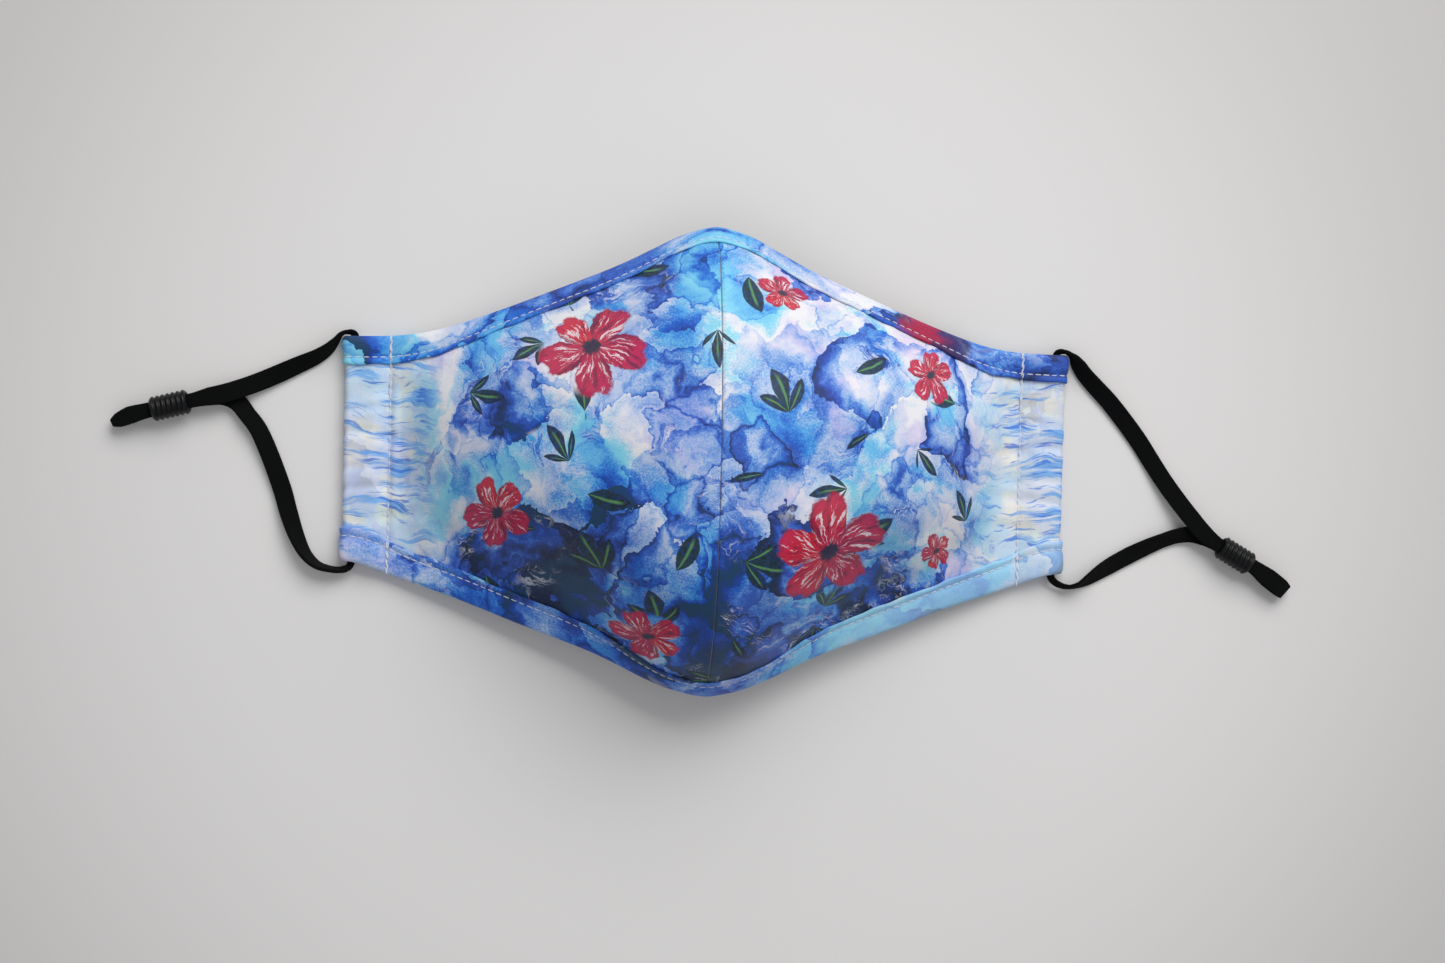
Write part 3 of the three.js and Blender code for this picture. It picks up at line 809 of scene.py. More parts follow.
def face_normals(runs, heights):
    totals = section_lengths(runs)[:, None]
    before = np.maximum(runs - PROBE, 0)
    after = runs + PROBE
    share = heights / totals
    along = face_points(after, share * section_lengths(after)[:, None])
    along = along - face_points(before, share * section_lengths(before)[:, None])
    middle = np.clip(heights, PROBE, totals - PROBE)
    up = face_points(runs, middle + PROBE) - face_points(runs, middle - PROBE)
    normals = np.cross(along, up)
    normals[runs < SEAM_LEVEL, :, 0] = 0
    return unit(normals)


def edge_stretch(runs, edge):
    """How much longer a strip's width is up a section than square to the bound edge."""
    def edge_points(at, inset):
        lengths = section_lengths(at)[:, None]
        return face_points(at, lengths - inset if edge == "top" else lengths * 0 + inset)[:, 0]

    along = edge_points(runs + PROBE, 0) - edge_points(np.maximum(runs - PROBE, 0), 0)
    inward = edge_points(runs, PROBE) - edge_points(runs, 0)
    return 1 / np.linalg.norm(np.cross(unit(along), unit(inward)), axis=-1)


def mesh_piece(name, points, faces, materials, flat_map=None, slots=None):
    """A smooth mesh object in metres from points in millimetres."""
    mesh = bpy.data.meshes.new(name)
    mesh.from_pydata((np.asarray(points) * MM).tolist(), [], faces)
    mesh.validate()
    for material in materials:
        mesh.materials.append(material)
    mesh.shade_smooth()
    if slots is not None:
        mesh.polygons.foreach_set("material_index", slots)
    if flat_map is not None:
        loops = np.empty(len(mesh.loops), np.int32)
        mesh.loops.foreach_get("vertex_index", loops)
        layer = mesh.uv_layers.new(name="cloth")
        layer.data.foreach_set("uv", (flat_map[loops] * MM).ravel())
    return add_object(name, mesh)


def grid_faces(columns, rows, first, turned):
    faces = []
    for i in range(columns - 1):
        for j in range(rows - 1):
            a = first + i * rows + j
            quad = (a, a + rows, a + rows + 1, a + 1)
            faces.append(quad[::-1] if turned else quad)
    return faces


# Corner order of a tube's quads whose rings run so that they face outwards.
OUTWARD = (0, 1, 2, 3)


def tube_faces(columns, rows, order=OUTWARD, closed=False):
    """Quads round a tube of rings, their corners in the given order, and its two ends."""
    faces = []
    for i in range(columns if closed else columns - 1):
        near, far = i * rows, (i + 1) % columns * rows
        for j in range(rows):
            k = (j + 1) % rows
            corners = (near + j, near + k, far + k, far + j)
            faces.append(tuple(corners[c] for c in order))
    if not closed:
        first, last = tuple(range(rows)), tuple(range((columns - 1) * rows, columns * rows))
        faces += [first[::-1], last] if order == OUTWARD else [first, last[::-1]]
    return faces


def flat_tube_map(along, around):
    """Cloth map of a tube: how far along it and how far round it each point lies."""
    grid = np.meshgrid(along, around, indexing="ij")
    return np.stack(grid, -1).reshape(-1, 2)


# ---- cup panels

SEAM_RUNS = (0.08, 0.2, 0.35, 0.55, 0.8, 1.1, 1.5, 2.0, 2.7, 3.5)
EDGE_ROWS = np.array([0.6, 2, 4, 6, 7.4, 8.3, 8.9, 9.4, 10, 10.8, 11.8, 13, 14.5, 16, 17.5, 19])
MIDDLE_ROWS = 132

# The cloth turned in along the centre seam, behind the cup.
ALLOWANCE_WIDTH = 6.5
ALLOWANCE_WALL = 0.8


def panel_runs():
    return np.concatenate((
        SEAM_RUNS, spread(4.4, 98.0, 1.0), spread(98.6, 109.5, 0.45),
        spread(110.3, FOLD_CENTRE, 0.9), spread(FOLD_CENTRE, HEM_START_RUN, 0.45)[1:-1],
        spread(HEM_START_RUN, HEM_END_RUN, 1.2),
    ))


def panel_heights(runs):
    totals = section_lengths(runs)
    low = EDGE_ROWS * edge_stretch(runs, "bottom")[:, None]
    high = (totals[:, None] - EDGE_ROWS * edge_stretch(runs, "top")[:, None])[:, ::-1]
    share = np.linspace(0, 1, MIDDLE_ROWS + 1)[None, 1:-1]
    middle = low[:, -1:] + (high[:, :1] - low[:, -1:]) * share
    return np.concatenate((low, middle, high), 1)


def well_inside(run, from_edge):
    """1 in the open middle of a panel, falling to 0 at its edges, seam and casing."""
    return eased(from_edge, 9, 22) * eased(run, 2, 16) * eased(STITCH_ACROSS - run, 0, 10)


def panel_relief(run, up, y, from_edge):
    """Seam roll, drag lines, gathers and soft waves, in millimetres out of the face."""
    seam = -0.62 * np.exp(-(run / 0.34) ** 1.2)
    seam = seam + ripple(up, (3.3, 0.4, 0.05), (7.9, 1.0, 0.05)) * np.exp(-run / 2.6)
    drag = y + 0.10 * (STITCH_ACROSS - run) * np.sign(y)
    drag = ripple(drag, (8.3, 0.5, 0.20), (13.7, 2.0, 0.24), (5.1, 4.0, 0.09))
    drag = drag * np.exp(-np.abs(STITCH_ACROSS - run) / 9.0) * eased(from_edge, 8, 13)
    gather = ripple(y + 0.12 * run, (6.1, 1.1, 0.10), (9.7, 3.0, 0.13), (3.7, 0.3, 0.05))
    gather = gather * eased(run, 105, 109) * eased(HEM_START_RUN - run, 0, 4)
    stitch = -0.38 * np.exp(-((run - STITCH_ACROSS) / 0.8) ** 2)
    stitch = stitch * (1 + ripple(y, (2.8, 0.0, 0.35)))
    pucker = ripple(run + 0.25 * y, (7.3, 0.2, 0.10), (11.9, 2.4, 0.12), (4.3, 1.0, 0.05))
    pucker = pucker * np.exp(-np.maximum(from_edge - 9, 0) / 5.0) * eased(run, 3, 8)
    pucker = pucker * eased(STITCH_ACROSS - run, 0, 6)
    wave = ripple(run * 0.9 + up * 0.5, (37.0, 0.3, 0.28), (23.0, 1.9, 0.16))
    wave = wave + ripple(run * 0.4 - up * 0.8, (31.0, 2.2, 0.26), (17.0, 0.7, 0.10))
    wave = wave * well_inside(run, from_edge)
    return seam + drag + gather + stitch + pucker + wave


def girth(runs):
    """Length of the cloth from the seam along its middle."""
    fine = np.linspace(0, HEM_END_RUN, 900)
    middle = face_points(fine, section_lengths(fine)[:, None] / 2)[:, 0]
    return np.interp(runs, fine, lengths_along(middle))


# How much of the front's relief the back follows.
BACK_SHARE = 0.6


def cup_panel(name, side, materials):
    runs = panel_runs()
    heights = panel_heights(runs)
    points = face_points(runs, heights)
    normals = face_normals(runs, heights)
    totals = section_lengths(runs)[:, None]
    run = runs[:, None]
    from_edge = np.minimum(heights, totals - heights)
    up = heights - totals / 2
    uneven = side * ripple(heights + 0.7 * run, (29.0, 0.0, 0.12)) * well_inside(run, from_edge)
    relief = panel_relief(run, up, points[..., 1], from_edge) + uneven
    turned_in = eased(ALLOWANCE_WIDTH - run, 0, 0.8) * eased(run, 0.2, 1.5)
    wall = CLOTH_WALL + ALLOWANCE_WALL * turned_in * eased(from_edge, 0.6, 2.6)
    outer = points + normals * relief[..., None]
    inner = points + normals * (relief * BACK_SHARE - wall)[..., None]
    columns, rows = heights.shape
    count = columns * rows
    flat = np.stack((side * girth(runs)[:, None] + 0 * heights, up), -1)
    flat = np.tile(flat.reshape(-1, 2), (2, 1))
    faces = grid_faces(columns, rows, 0, side < 0)
    printed = len(faces)
    faces += grid_faces(columns, rows, count, side > 0)
    rim = [(i * rows, (i + 1) * rows) for i in range(columns - 1)]
    rim += [((i + 1) * rows + rows - 1, i * rows + rows - 1) for i in range(columns - 1)]
    rim += [(j + 1, j) for j in range(rows - 1)]
    rim += [((columns - 1) * rows + j, (columns - 1) * rows + j + 1) for j in range(rows - 1)]
    for a, b in rim:
        quad = (b, a, a + count, b + count)
        faces.append(quad[::-1] if side < 0 else quad)
    slots = [0] * printed + [1] * (len(faces) - printed)
    shell = np.concatenate((outer.reshape(-1, 3), inner.reshape(-1, 3))) * (side, 1, 1)
    return mesh_piece(name, shell, faces, materials, flat, slots)


# ---- bindings

# The folded strip in section: inset from the bound edge, height over the panel's face.
STRIP_PROFILE = np.array((
    (8.80, 0.06), (9.05, 0.24), (9.12, 0.52), (8.98, 0.80), (8.60, 0.95), (8.10, 0.93),
    (7.60, 0.82), (7.20, 0.66), (6.85, 0.58), (6.50, 0.66), (6.05, 0.86), (5.40, 1.04),
    (4.50, 1.17), (3.50, 1.24), (2.50, 1.25), (1.60, 1.18), (0.85, 1.00), (0.30, 0.66),
    (0.03, 0.20), (0.00, -0.30), (0.18, -0.80), (0.65, -1.16), (1.50, -1.36), (3.00, -1.43),
    (5.00, -1.40), (6.85, -1.27), (8.20, -1.40), (8.95, -1.38), (9.10, -1.20), (8.85, -1.05),
    (5.50, -1.03), (2.00, -1.02), (0.80, -0.92), (0.50, -0.50), (0.80, -0.04), (2.00, 0.03),
    (5.50, 0.03),
))
STRIP_FRONT_POINTS = 20
STRIP_CREST = 1.28
STITCH_INSET = 6.85
STITCH_PITCH = 2.7
STITCH_GROOVE = 0.34
# How far the strip is rounded over the peak, and how near the peak that begins.
PEAK_SHIFT = 2.6
PEAK_REACH = 13
# How far outside the turned-in cloth the strip's back rises, and what it clears it by.
OVER_LEAD = 2.4
OVER_ROOM = 0.12


def strip_scale(signed, edge):
    """How much wider than the profile the strip lies: the chin's strip spreads at its ends."""
    if edge == "top":
        return np.ones((len(signed), 1))
    return 1.10 + 0.10 * eased(np.abs(signed), 96, 114)[:, None]


def over_allowance(signed, insets):
    """How far the strip's back is pushed out where it crosses the seam's turned-in cloth."""
    near = eased(ALLOWANCE_WIDTH + OVER_LEAD - np.abs(signed)[:, None], 0, 1.7)
    return (ALLOWANCE_WALL + OVER_ROOM) * near * eased(insets, 0.2, 1.8)


def strip_runs():
    half = np.concatenate((
        spread(0, 98, 0.68), spread(98.5, 110, 0.5), spread(110.6, FOLD_CENTRE, 0.7),
        spread(FOLD_CENTRE, HEM_START_RUN, 0.4)[1:-1], spread(HEM_START_RUN, HEM_END_RUN, 1.0),
    ))
    return np.concatenate((-half[:0:-1], half))


def strip_frame(signed, edge, insets):
    """Points and normals of the panel's face under a strip, rounded where it turns the peak."""
    points = 0
    normals = 0
    for shift, share in ((-PEAK_SHIFT, 0.25), (0.0, 0.5), (PEAK_SHIFT, 0.25)):
        moved = signed + shift * eased(PEAK_REACH - np.abs(signed), 0, 6)
        run = np.abs(moved)
        heights = insets * edge_stretch(run, edge)[:, None]
        if edge == "top":
            heights = section_lengths(run)[:, None] - heights
        mirror = np.ones((len(run), 1, 3))
        mirror[moved < 0, :, 0] = -1
        points = points + share * face_points(run, heights) * mirror
        normals = normals + share * face_normals(run, heights) * mirror
    return points, unit(normals)


def edge_lengths(signed, edge):
    """How far each run is from the peak along the strip, measured 3 mm in from its edge."""
    points = strip_frame(signed, edge, np.full((len(signed), 1), 3.0))[0]
    lengths = lengths_along(points[:, 0])
    return lengths - np.interp(0, signed, lengths)


def strip_relief(signed, lengths, insets, heights):
    """Puckers between stitches, rolls and the grooves of the casing's stitches."""
    run = np.abs(signed)[:, None]
    place = lengths + 0.55 * insets
    front = eased(heights, 0.0, 0.5)
    roll = ripple(place, (7.7, 0.4, 0.07), (12.6, 1.7, 0.09), (19.0, 3.0, 0.07), (4.4, 0.9, 0.03))
    roll = roll * eased(insets, 0.2, 2.2) * eased(6.6 - insets, 0, 2.0)
    tuck = 0.07 * np.cos(2 * np.pi * lengths / STITCH_PITCH)
    tuck = tuck * np.exp(-((insets - STITCH_INSET) / 0.7) ** 2)
    dents = sum(np.exp(-((run - row) / 0.9) ** 2) for row in (STITCH_ACROSS, HEM_STITCH_RUN))
    groove = -STITCH_GROOVE * dents * eased(insets, 0.1, 1.0)
    lip = ripple(lengths, (9.3, 0.9, 0.06), (15.5, 2.0, 0.08)) * eased(insets, 7.2, 9.0)
    return (roll + tuck + groove + lip) * front


def binding(name, edge, material):
    signed = strip_runs()
    lengths = edge_lengths(signed, edge)[:, None]
    scale = strip_scale(signed, edge)
    insets, heights = (np.tile(column, (len(signed), 1)) for column in STRIP_PROFILE.T)
    wavy = ripple(lengths, (14.2, 0.5, 0.16), (8.7, 2.2, 0.10), (31.0, 1.0, 0.18))
    insets = insets + wavy * eased(insets, 7.0, 9.0) * (heights > -0.5)
    insets = np.where(heights > -0.3, insets * scale, insets)
    tight = 1 - 0.72 * eased(np.abs(signed), 98, 103)[:, None]
    heights = np.where(heights < -1.0, -1.0 + (heights + 1.0) * tight, heights)
    heights = heights + strip_relief(signed, lengths, insets / scale, heights)
    heights = np.minimum(heights, STRIP_CREST)
    heights = heights - over_allowance(signed, insets) * (STRIP_PROFILE[:, 1] < -0.6)
    points, normals = strip_frame(signed, edge, insets)
    rings = points + normals * heights[..., None]
    faces = tube_faces(*insets.shape, OUTWARD if edge == "top" else OUTWARD[::-1])
    flat = flat_tube_map(lengths[:, 0], lengths_along(STRIP_PROFILE))
    return mesh_piece(name, rings.reshape(-1, 3), faces, [material], flat)


# ---- stitches

STITCH_SIZES = {"Pitch": 0.0027, "Stitch Length": 0.0021, "Thread": 0.0004, "Unevenness": 0.12}
CASING_THREAD = 0.00052
FRONT_STITCH_LIFT = 0.62
BACK_STITCH_DROP = 1.30
CASING_STITCH_LIFT = 0.12
CASING_STITCH_FLOOR = 0.30
CASING_STITCH_END = 0.7
CASING_STITCH_STEPS = 160
# A casing's stitches sink this far into the bound strips, and into the panel between.
STRIP_SINK = 0.20
PANEL_SINK = 0.22
BACK_STITCH_REACH = 96.0
# Steps of a casing's seam that are sewn twice at the chin and at the nose.
CHIN_LOCK = 19
NOSE_LOCK = 38


def build_stitch_tree():
    """Stitches along a line: resampled to a pitch, each a thread bowed out of the cloth."""
    w, line, pitch, length, thread, uneven, seed, finish = start_group(
        "stitch_row", "Geometry:g, Pitch:f, Stitch Length:f, Thread:f, Unevenness:f, Seed:i, "
        "Thread Finish:m", "Geometry:g", "GeometryNodeTree",
    )
    line = w.add("GeometryNodeMeshToCurve", 0, {"Mesh": line})
    line = w.add("GeometryNodeResampleCurve", 0, {"Curve": line, "Length": pitch}, mode="LENGTH")
    dots = w.add("GeometryNodeCurveToPoints", None, {"Curve": line}, mode="EVALUATED")
    bead = w.add("GeometryNodeMeshUVSphere", 0, {"Segments": 8, "Rings": 6, "Radius": 0.5})
    size = w.joined(thread, thread, length)
    bead = w.add("GeometryNodeTransform", 0, {"Geometry": bead, "Scale": size})
    bounds = {2: 1.0 - uneven, 3: uneven + 1.0, "Seed": seed}
    chance = w.add("FunctionNodeRandomValue", 1, bounds, data_type="FLOAT")
    row = w.add("GeometryNodeInstanceOnPoints", 0, {
        "Points": dots["Points"], "Instance": bead, "Rotation": dots["Rotation"], "Scale": chance,
    })
    row = w.add("GeometryNodeRealizeInstances", 0, {"Geometry": row})
    row = w.add("GeometryNodeSetShadeSmooth", 0, {"Geometry": row})
    w.give(Geometry=w.add("GeometryNodeSetMaterial", 0, {"Geometry": row, "Material": finish}))
    return w.tree


def stitch_row(name, lines, tree, thread, seed, **sizes):
    """Stitches along each line of points, given in millimetres."""
    edges = []
    first = 0
    for line in lines:
        edges += [(first + i, first + i + 1) for i in range(len(line) - 1)]
        first += len(line)
    mesh = bpy.data.meshes.new(name + "_line")
    mesh.from_pydata((np.concatenate(lines) * MM).tolist(), edges, [])
    guide = add_object(name + "_line", mesh)
    modifier = guide.modifiers.new("stitches", "NODES")
    modifier.node_group = tree
    values = {**STITCH_SIZES, "Seed": seed, "Thread Finish": thread, **sizes}
    for item in tree.interface.items_tree:
        if item.in_out == "INPUT" and item.name in values:
            modifier[item.identifier] = values[item.name]
    depsgraph = bpy.context.evaluated_depsgraph_get()
    made = bpy.data.meshes.new_from_object(guide.evaluated_get(depsgraph), depsgraph=depsgraph)
    made.name = name
    bpy.data.objects.remove(guide)
    return add_object(name, made)


def strip_stitch_lines(edge):
    """A strip's seam on its front, and behind the cup as far as the casings."""
    signed = strip_runs()
    points, normals = strip_frame(signed, edge, STITCH_INSET * strip_scale(signed, edge))
    front = (points + normals * FRONT_STITCH_LIFT)[3:-3, 0]
    signed = signed[np.abs(signed) < BACK_STITCH_REACH]
    insets = np.full((len(signed), 1), STITCH_INSET)
    points, normals = strip_frame(signed, edge, insets)
    drop = BACK_STITCH_DROP + over_allowance(signed, insets)
    return [front, (points - normals * drop[..., None])[:, 0]]


def casing_stitch_line(side, run):
    """A line up one casing, over both bindings and the panel between them, off the table."""
    at = np.array([run])
    total = section_lengths(at)[0]
    heights = np.linspace(CASING_STITCH_END, total - CASING_STITCH_END, CASING_STITCH_STEPS)
    points = face_points(at, heights[None])[0]
    normals = face_normals(at, heights[None])[0]
    scale = np.where(heights < total / 2, strip_scale(at, "bottom")[0, 0], 1.0)
    inset = np.minimum(heights, total - heights) / scale
    front = STRIP_PROFILE[:STRIP_FRONT_POINTS][::-1]
    front = front[np.argsort(front[:, 0])]
    strip = np.maximum(np.interp(inset, *front.T) - STRIP_SINK, 0.0)
    cover = np.where(inset < BINDING_WIDTH, strip, -PANEL_SINK)
    cover = np.convolve(np.pad(cover, 2, mode="edge"), np.full(5, 0.2), mode="valid")
    line = points + normals * (cover + CASING_STITCH_LIFT)[:, None]
    line[:, 2] = np.maximum(line[:, 2], CASING_STITCH_FLOOR)
    return line * (side, 1, 1)


def lock_stitches(line):
    """The casing's seam sewn back over itself at its ends, longer at the nose."""
    parts = []
    for end, count in ((line, CHIN_LOCK), (line[::-1], NOSE_LOCK)):
        for skipped, aside in ((3, 0.26), (1, -0.22)):
            parts.append(end[skipped:count] + (aside, 0, 0.05))
    return parts


# ---- ear elastics

ELASTIC_WIDTH = 6.0
ELASTIC_WALL = 1.2

# Routes from inside a casing, out at the nose side, round and back in at the chin side:
# X, Y, lowest edge, roll in degrees and width. Their start and end lie in the casing, and
# are the right one's, mirrored for the left.
ROUTE_START = (
    (114.6, 20, 2.6, 0, 5), (115.6, 37.9, 2.6, 0, 2.6), (115.95, 38.95, 2.45, -12, 2.4),
    (116.8, 39.5, 2.05, -48, 2.4), (118, 39.6, 1.6, -76, 2.4), (119.3, 39.45, 1.2, -86, 2.8),
    (120.4, 38.8, 0.8, -86, 3.8),
)
ROUTE_END = ((115.6, -34.3, 2.6, 0, 2.6), (114.6, -18, 2.6, 0, 5), (114.6, 19.7, 2.6, 0, 5))
LEFT_ROUTE = (
    (-121.3, 37.6, 0.4, 82, 4.8), (-122.3, 36.2, 0.15, 74, 5.4),
    (-124.4, 33.9, 0.1, 61, 6), (-128, 31.4, 0.1, 46, 6), (-133.4, 28.8, 0.1, 31, 6),
    (-140.3, 25.5, 0.5, 14, 6), (-146.2, 22.8, 1.4, 5, 6), (-151.4, 20.7, 2.8, 0, 6),
    (-156.6, 18.9, 4, 0, 6), (-161.6, 17.65, 4.4, 0, 5.8), (-166.45, 16.4, 4.4, 0, 4.7),
    (-174.2, 14.4, 4.4, 0, 4.6), (-181.95, 12.4, 4.4, 0, 5), (-186.8, 11, 4.4, 0, 5.5),
    (-190.6, 9.2, 3.8, 0, 4.4), (-192.3, 8.4, 2.4, 0, 2.4), (-190.7, 9.1, 1, 0, 4.4),
    (-186.8, 10.9, 1.3, 0, 5.4), (-181.95, 12.4, 2.7, 0, 4.8), (-174.2, 14.4, 2.7, 0, 4.6),
    (-166.45, 16.4, 2.7, 0, 4.7), (-161.6, 17.5, 2.2, 0, 5.6), (-157.2, 17.8, 1.3, 4, 6),
    (-153.2, 16, 0.4, 16, 6), (-149.8, 12, 0.1, 30, 6), (-146.1, 7, 0.1, 26, 6),
    (-138.6, -11.4, 0.1, 10, 6), (-136, -19.9, 0.1, 24, 6), (-133.2, -27.4, 0.1, 46, 6),
    (-130.2, -32.9, 0.1, 64, 6), (-126.6, -36.2, 0.1, 76, 6), (-122.4, -37.5, 0.3, 80, 5.2),
    (-119.2, -37.7, 0.9, 74, 3.8), (-117, -37.1, 1.7, 48, 2.7), (-115.9, -36, 2.3, 16, 2.4),
)
RIGHT_ROUTE = (
    (121.8, 37.5, 0.2, -72, 5.2), (123.3, 35.3, 0.1, -54, 6),
    (125.8, 32, 0.1, -41, 6), (129.3, 28.4, 0.1, -31, 6), (134.6, 23.1, 0.1, -22, 6),
    (144.5, 11.1, 0.1, -10, 6), (149.2, 4.2, 0.3, -6, 6), (153.9, -2.9, 1.2, -3, 6),
    (158.6, -9.4, 2.6, 0, 6), (163.1, -15.2, 3.9, 0, 6), (167.4, -20, 4.4, 0, 5.8),
    (171.8, -23.4, 4.4, 0, 4.8), (178.5, -27.3, 4.4, 0, 4.6), (185.4, -31.3, 4.4, 0, 4.8),
    (190.3, -34.6, 4.2, 0, 6), (194.5, -37.7, 3.6, 0, 6), (196.3, -39.2, 2.3, 0, 5.4),
    (194.7, -37.9, 1, 0, 6), (190.3, -34.7, 1.3, 0, 6), (185.4, -31.3, 2.7, 0, 4.8),
    (178.5, -27.3, 2.7, 0, 4.6), (171.8, -23.4, 2.7, 0, 4.8), (167.4, -21.3, 2.2, 0, 5.6),
    (163.2, -20.6, 1.3, 6, 5.4), (158.8, -21.2, 0.4, 26, 5.6), (154, -22.8, 0.1, 34, 6),
    (149, -25, 0.1, 24, 6), (143, -28, 0.1, 14, 6), (137, -31.3, 0.1, 18, 6),
    (132.4, -34, 0.1, 34, 6), (128.2, -36.7, 0.1, 54, 6), (125.2, -38.3, 0.1, 72, 5.6),
    (122, -39, 0.4, 80, 4.6), (119.3, -38.5, 0.9, 70, 3.4), (117.2, -37.4, 1.7, 46, 2.6),
    (116, -36.1, 2.3, 16, 2.4),
)
STEPS_PER_POINT = 7
ELASTIC_RIBS = 8
ELASTIC_RIB_DEPTH = 0.05
TABLE_CLEARANCE = 0.02


def centripetal(points, steps):
    """A smooth line through the points, with the same number of steps between each two."""
    ends = (2 * points[0] - points[1], 2 * points[-1] - points[-2])
    padded = np.vstack((ends[0], points, ends[1]))
    line = []
    for i in range(len(points) - 1):
        near = padded[i:i + 4]
        knots = np.append(0, np.cumsum(np.sqrt(np.linalg.norm(np.diff(near, axis=0), axis=1))))

        def blended(row, start, finish, at):
            low, high = knots[start], knots[finish]
            return (row[0] * (high - at) + row[1] * (at - low)) / (high - low)

        for k in range(steps):
            at = knots[1] + (knots[2] - knots[1]) * k / steps
            first = [blended(near[j:], j, j + 1, at) for j in range(3)]
            second = [blended(first[j:], j, j + 2, at) for j in range(2)]
            line.append(blended(second, 1, 2, at))
    line.append(points[-1])
    return np.array(line)


def band_outline(half_width):
    """Rounded flat section with shallow ribs: offsets across and through."""
    half_wall = ELASTIC_WALL / 2
    end_reach = half_wall * 0.75
    flat = half_width - end_reach
    places = np.linspace(1, -1, ELASTIC_RIBS * 4 + 1)
    dip = ELASTIC_RIB_DEPTH * (1 - np.abs(np.cos(places * ELASTIC_RIBS * np.pi / 2)))
    face = np.stack((places * flat, half_wall - dip), -1)
    turn = np.radians(np.linspace(90, 270, 9)[1:-1])
    end = np.stack((-flat + end_reach * np.cos(turn), half_wall * np.sin(turn)), -1)
    return np.concatenate((face, end, -face, -end))


def elastic(name, side, route, material):
    """The band as a mesh, and the line that it follows."""
    start, end = (np.array(rows) * (side, 1, 1, side, 1) for rows in (ROUTE_START, ROUTE_END))
    route = np.concatenate((start, route, end))
    x, y, lowest, rolls, widths = route.T
    tilt = np.radians(np.abs(rolls))
    middle = lowest + widths / 2 * np.sin(tilt) + ELASTIC_WALL / 2 * np.cos(tilt)
    line = centripetal(np.column_stack((x, y, middle)), STEPS_PER_POINT)
    share = np.arange(len(line)) / STEPS_PER_POINT
    rolls = np.radians(np.interp(share, np.arange(len(route)), rolls))
    widths = np.interp(share, np.arange(len(route)), widths)
    tangents = unit(np.gradient(line, axis=0))
    beside = np.cross(tangents[0], (0, 0, 1))
    rings = []
    for centre, tangent, turn, width in zip(line, tangents, rolls, widths):
        level = np.cross(tangent, (0, 0, 1))
        if np.linalg.norm(level) > 0.4:
            beside = level * np.sign(level @ beside)
        beside = unit(beside - tangent * (beside @ tangent))
        above = np.cross(beside, tangent)
        across = beside * math.cos(turn) + above * math.sin(turn)
        through = np.cross(across, tangent)
        outline = band_outline(width / 2)
        ring = centre + outline[:, :1] * across + outline[:, 1:] * through
        ring[:, 2] = np.maximum(ring[:, 2], TABLE_CLEARANCE)
        rings.append(ring)
    faces = tube_faces(len(rings), len(rings[0]), (0, 3, 2, 1))
    flat = flat_tube_map(lengths_along(line), lengths_along(band_outline(ELASTIC_WIDTH / 2)))
    return mesh_piece(name, np.concatenate(rings), faces, [material], flat), line * MM


# ---- adjusters

SLEEVE_LENGTH = 12.0
SLEEVE_BORE = 3.0
SLEEVE_GROOVE = 3.5
SLEEVE_RIB = 4.05
SLEEVE_RIBS = 7
SLEEVE_LIP = 0.12
SLEEVE_LIP_LENGTH = 0.1
SLEEVE_PLAIN_END = 0.25
SLEEVE_SIDES = 48
SLEEVE_HEIGHT = 4.1
# Each sleeve's middle in X and Y, and its heading in degrees.
SLEEVES = {"left": (-174.2, 14.4, 194.5), "right": (178.5, -27.3, -30.0)}


def adjuster(name, x, y, degrees, material):
    """A soft ribbed sleeve: rounded ribs outside, a plain bore inside."""
    half = SLEEVE_LENGTH / 2
    steps = np.linspace(0, 1, SLEEVE_RIBS * 8 + 1)
    along = (steps - 0.5) * (SLEEVE_LENGTH - 2 * SLEEVE_PLAIN_END)
    swell = 0.5 - 0.5 * np.cos(2 * np.pi * SLEEVE_RIBS * steps)
    radius = SLEEVE_GROOVE + (SLEEVE_RIB - SLEEVE_GROOVE) * swell ** 0.7
    lip = SLEEVE_BORE + SLEEVE_LIP
    inner = half - SLEEVE_LIP_LENGTH
    profile = [(SLEEVE_BORE, inner), (SLEEVE_BORE, -inner), (lip, -half)]
    profile += list(zip(radius, along)) + [(lip, half)]
    turns = np.linspace(0, 2 * np.pi, SLEEVE_SIDES, endpoint=False)[:, None]
    heading = math.radians(degrees)
    ahead = np.array((math.cos(heading), math.sin(heading), 0))
    aside = np.array((-math.sin(heading), math.cos(heading), 0))
    middle = np.array((x, y, SLEEVE_HEIGHT))
    outward = np.cos(turns) * aside + np.sin(turns) * (0, 0, 1)
    rings = [middle + a * ahead + r * outward for r, a in profile]
    faces = tube_faces(len(rings), SLEEVE_SIDES, closed=True)
    return mesh_piece(name, np.concatenate(rings), faces, [material])


# ---- assembly


def dress(piece, slot, *nodes):
    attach(piece, "root")
    if nodes:
        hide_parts(*nodes)


def add_table(reach):
    mesh = bpy.data.meshes.new("table_top")
    corners = [(-reach, -reach, 0), (reach, -reach, 0), (reach, reach, 0), (-reach, reach, 0)]
    mesh.from_pydata(corners, [], [(0, 1, 2, 3)])
    mesh.materials.append(table_top())
    add_object("table_top", mesh)


SIDES = {"left": -1, "right": 1}
ROUTES = {"left": LEFT_ROUTE, "right": RIGHT_ROUTE}
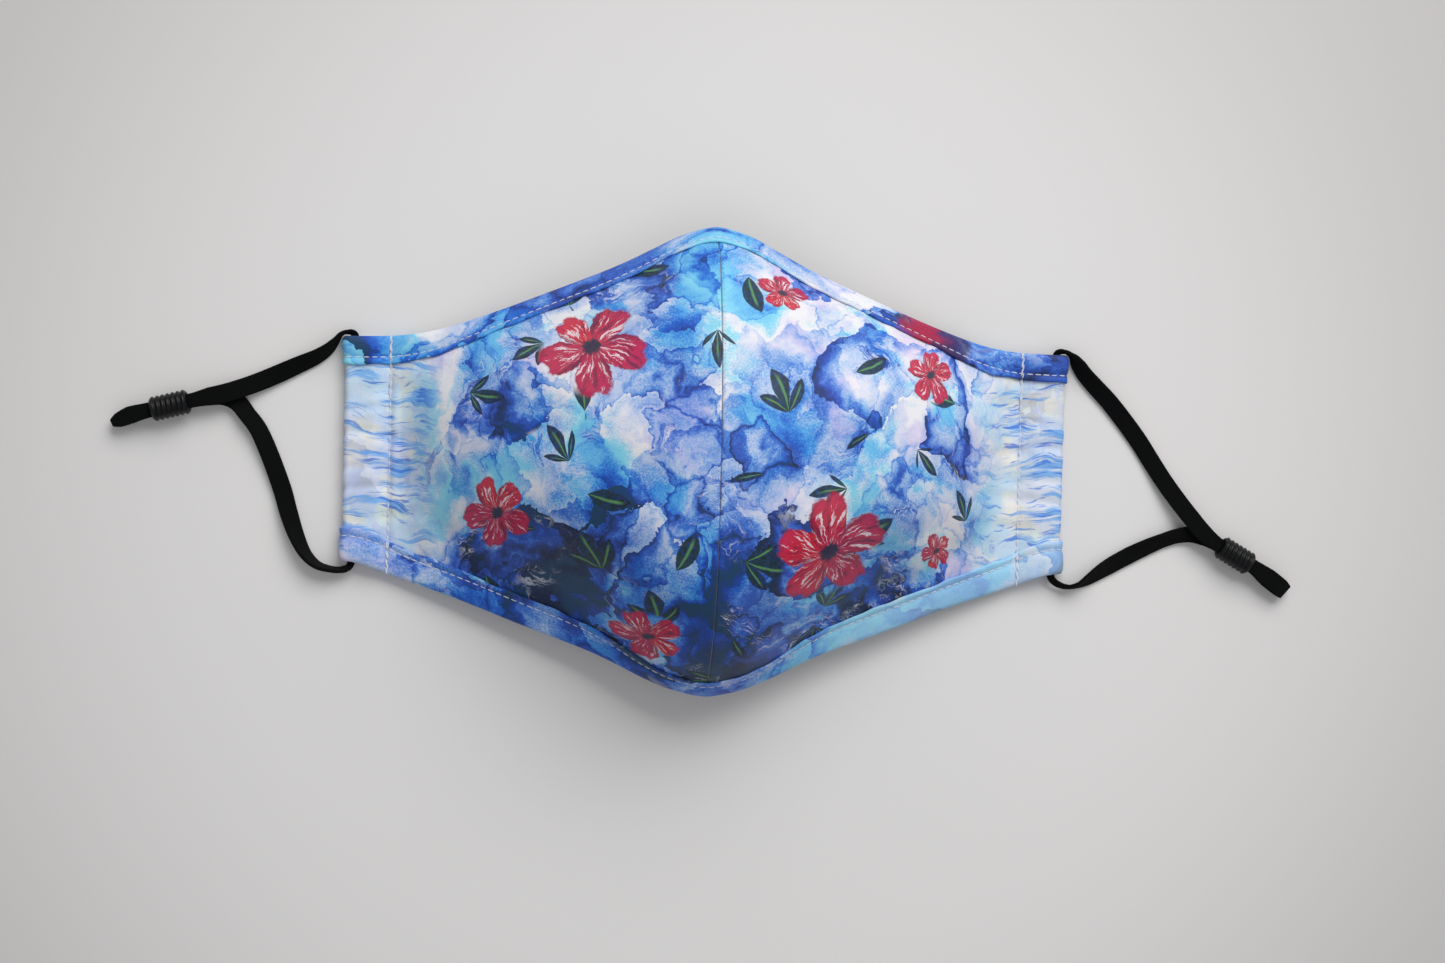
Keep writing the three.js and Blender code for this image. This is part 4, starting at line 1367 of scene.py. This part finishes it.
# How much pigment each bound strip carries: place along it and load.
NOSE_LOADS = (
    (-134, 0.12), (-112, 0.04), (-84, 0.34), (-50, 0.46), (-15, 0.44), (40, 0.38), (84, 0.60),
    (130, 0.50),
)
CHIN_LOADS = (
    (-134, 0.58), (-105, 0.57), (-70, 0.64), (-20, 0.58), (20, 0.56), (60, 0.30), (118, 0.44),
)

set_camera()
knit = knitted_elastic()
rubber = moulded_silicone()
printed = printed_cloth()
plain = back_cloth()
thread = sewing_thread()
strip_cloths = {
    "top": binding_cloth("nose_binding_cloth", NOSE_LOADS, (300, 80, 0), red_from=(68, 84)),
    "bottom": binding_cloth("chin_binding_cloth", CHIN_LOADS, (40, 130, 0), pale_from=(16, 70)),
}
stitches = build_stitch_tree()

sleeves = {}
for hand in SIDES:
    sleeves[hand] = adjuster(f"ribbed_adjuster_{hand}", *SLEEVES[hand], rubber)
    dress(sleeves[hand], "silicone", f"adjuster_{hand}")

for hand, side in SIDES.items():
    band, line = elastic(f"knitted_elastic_{hand}", side, ROUTES[hand], knit)
    dress(band, "knit_elastic", f"ear_elastic_{hand}")

for hand, side in SIDES.items():
    panel = cup_panel(f"printed_cup_{hand}", side, [printed, plain])
    dress(panel, "cup_cloth", f"cup_panel_{hand}")

for edge, cloth in strip_cloths.items():
    strip = binding(f"folded_binding_{edge}", edge, cloth)
    dress(strip, "binding_cloth", f"{edge}_binding")

for seed, edge in enumerate(strip_cloths):
    row = stitch_row(f"topstitch_{edge}", strip_stitch_lines(edge), stitches, thread, seed)
    dress(row, "binding_cloth")
for seed, (hand, side) in enumerate(SIDES.items(), 5):
    lines = [casing_stitch_line(side, run) for run in (STITCH_ACROSS, HEM_STITCH_RUN)]
    lines += lock_stitches(lines[0])
    row = stitch_row(f"casing_stitch_{hand}", lines, stitches, thread, seed, Thread=CASING_THREAD)
    dress(row, "binding_cloth")

add_table(4.0)
add_light("window", (0.38, 1.0, 0.97), 1.3, 0.9, 20.2, (1.0, 0.99, 0.98))
add_light("room", (0.0, -0.6, 1.6), 1.6, 1.2, 3, (0.97, 0.985, 1.0))
add_room_light()
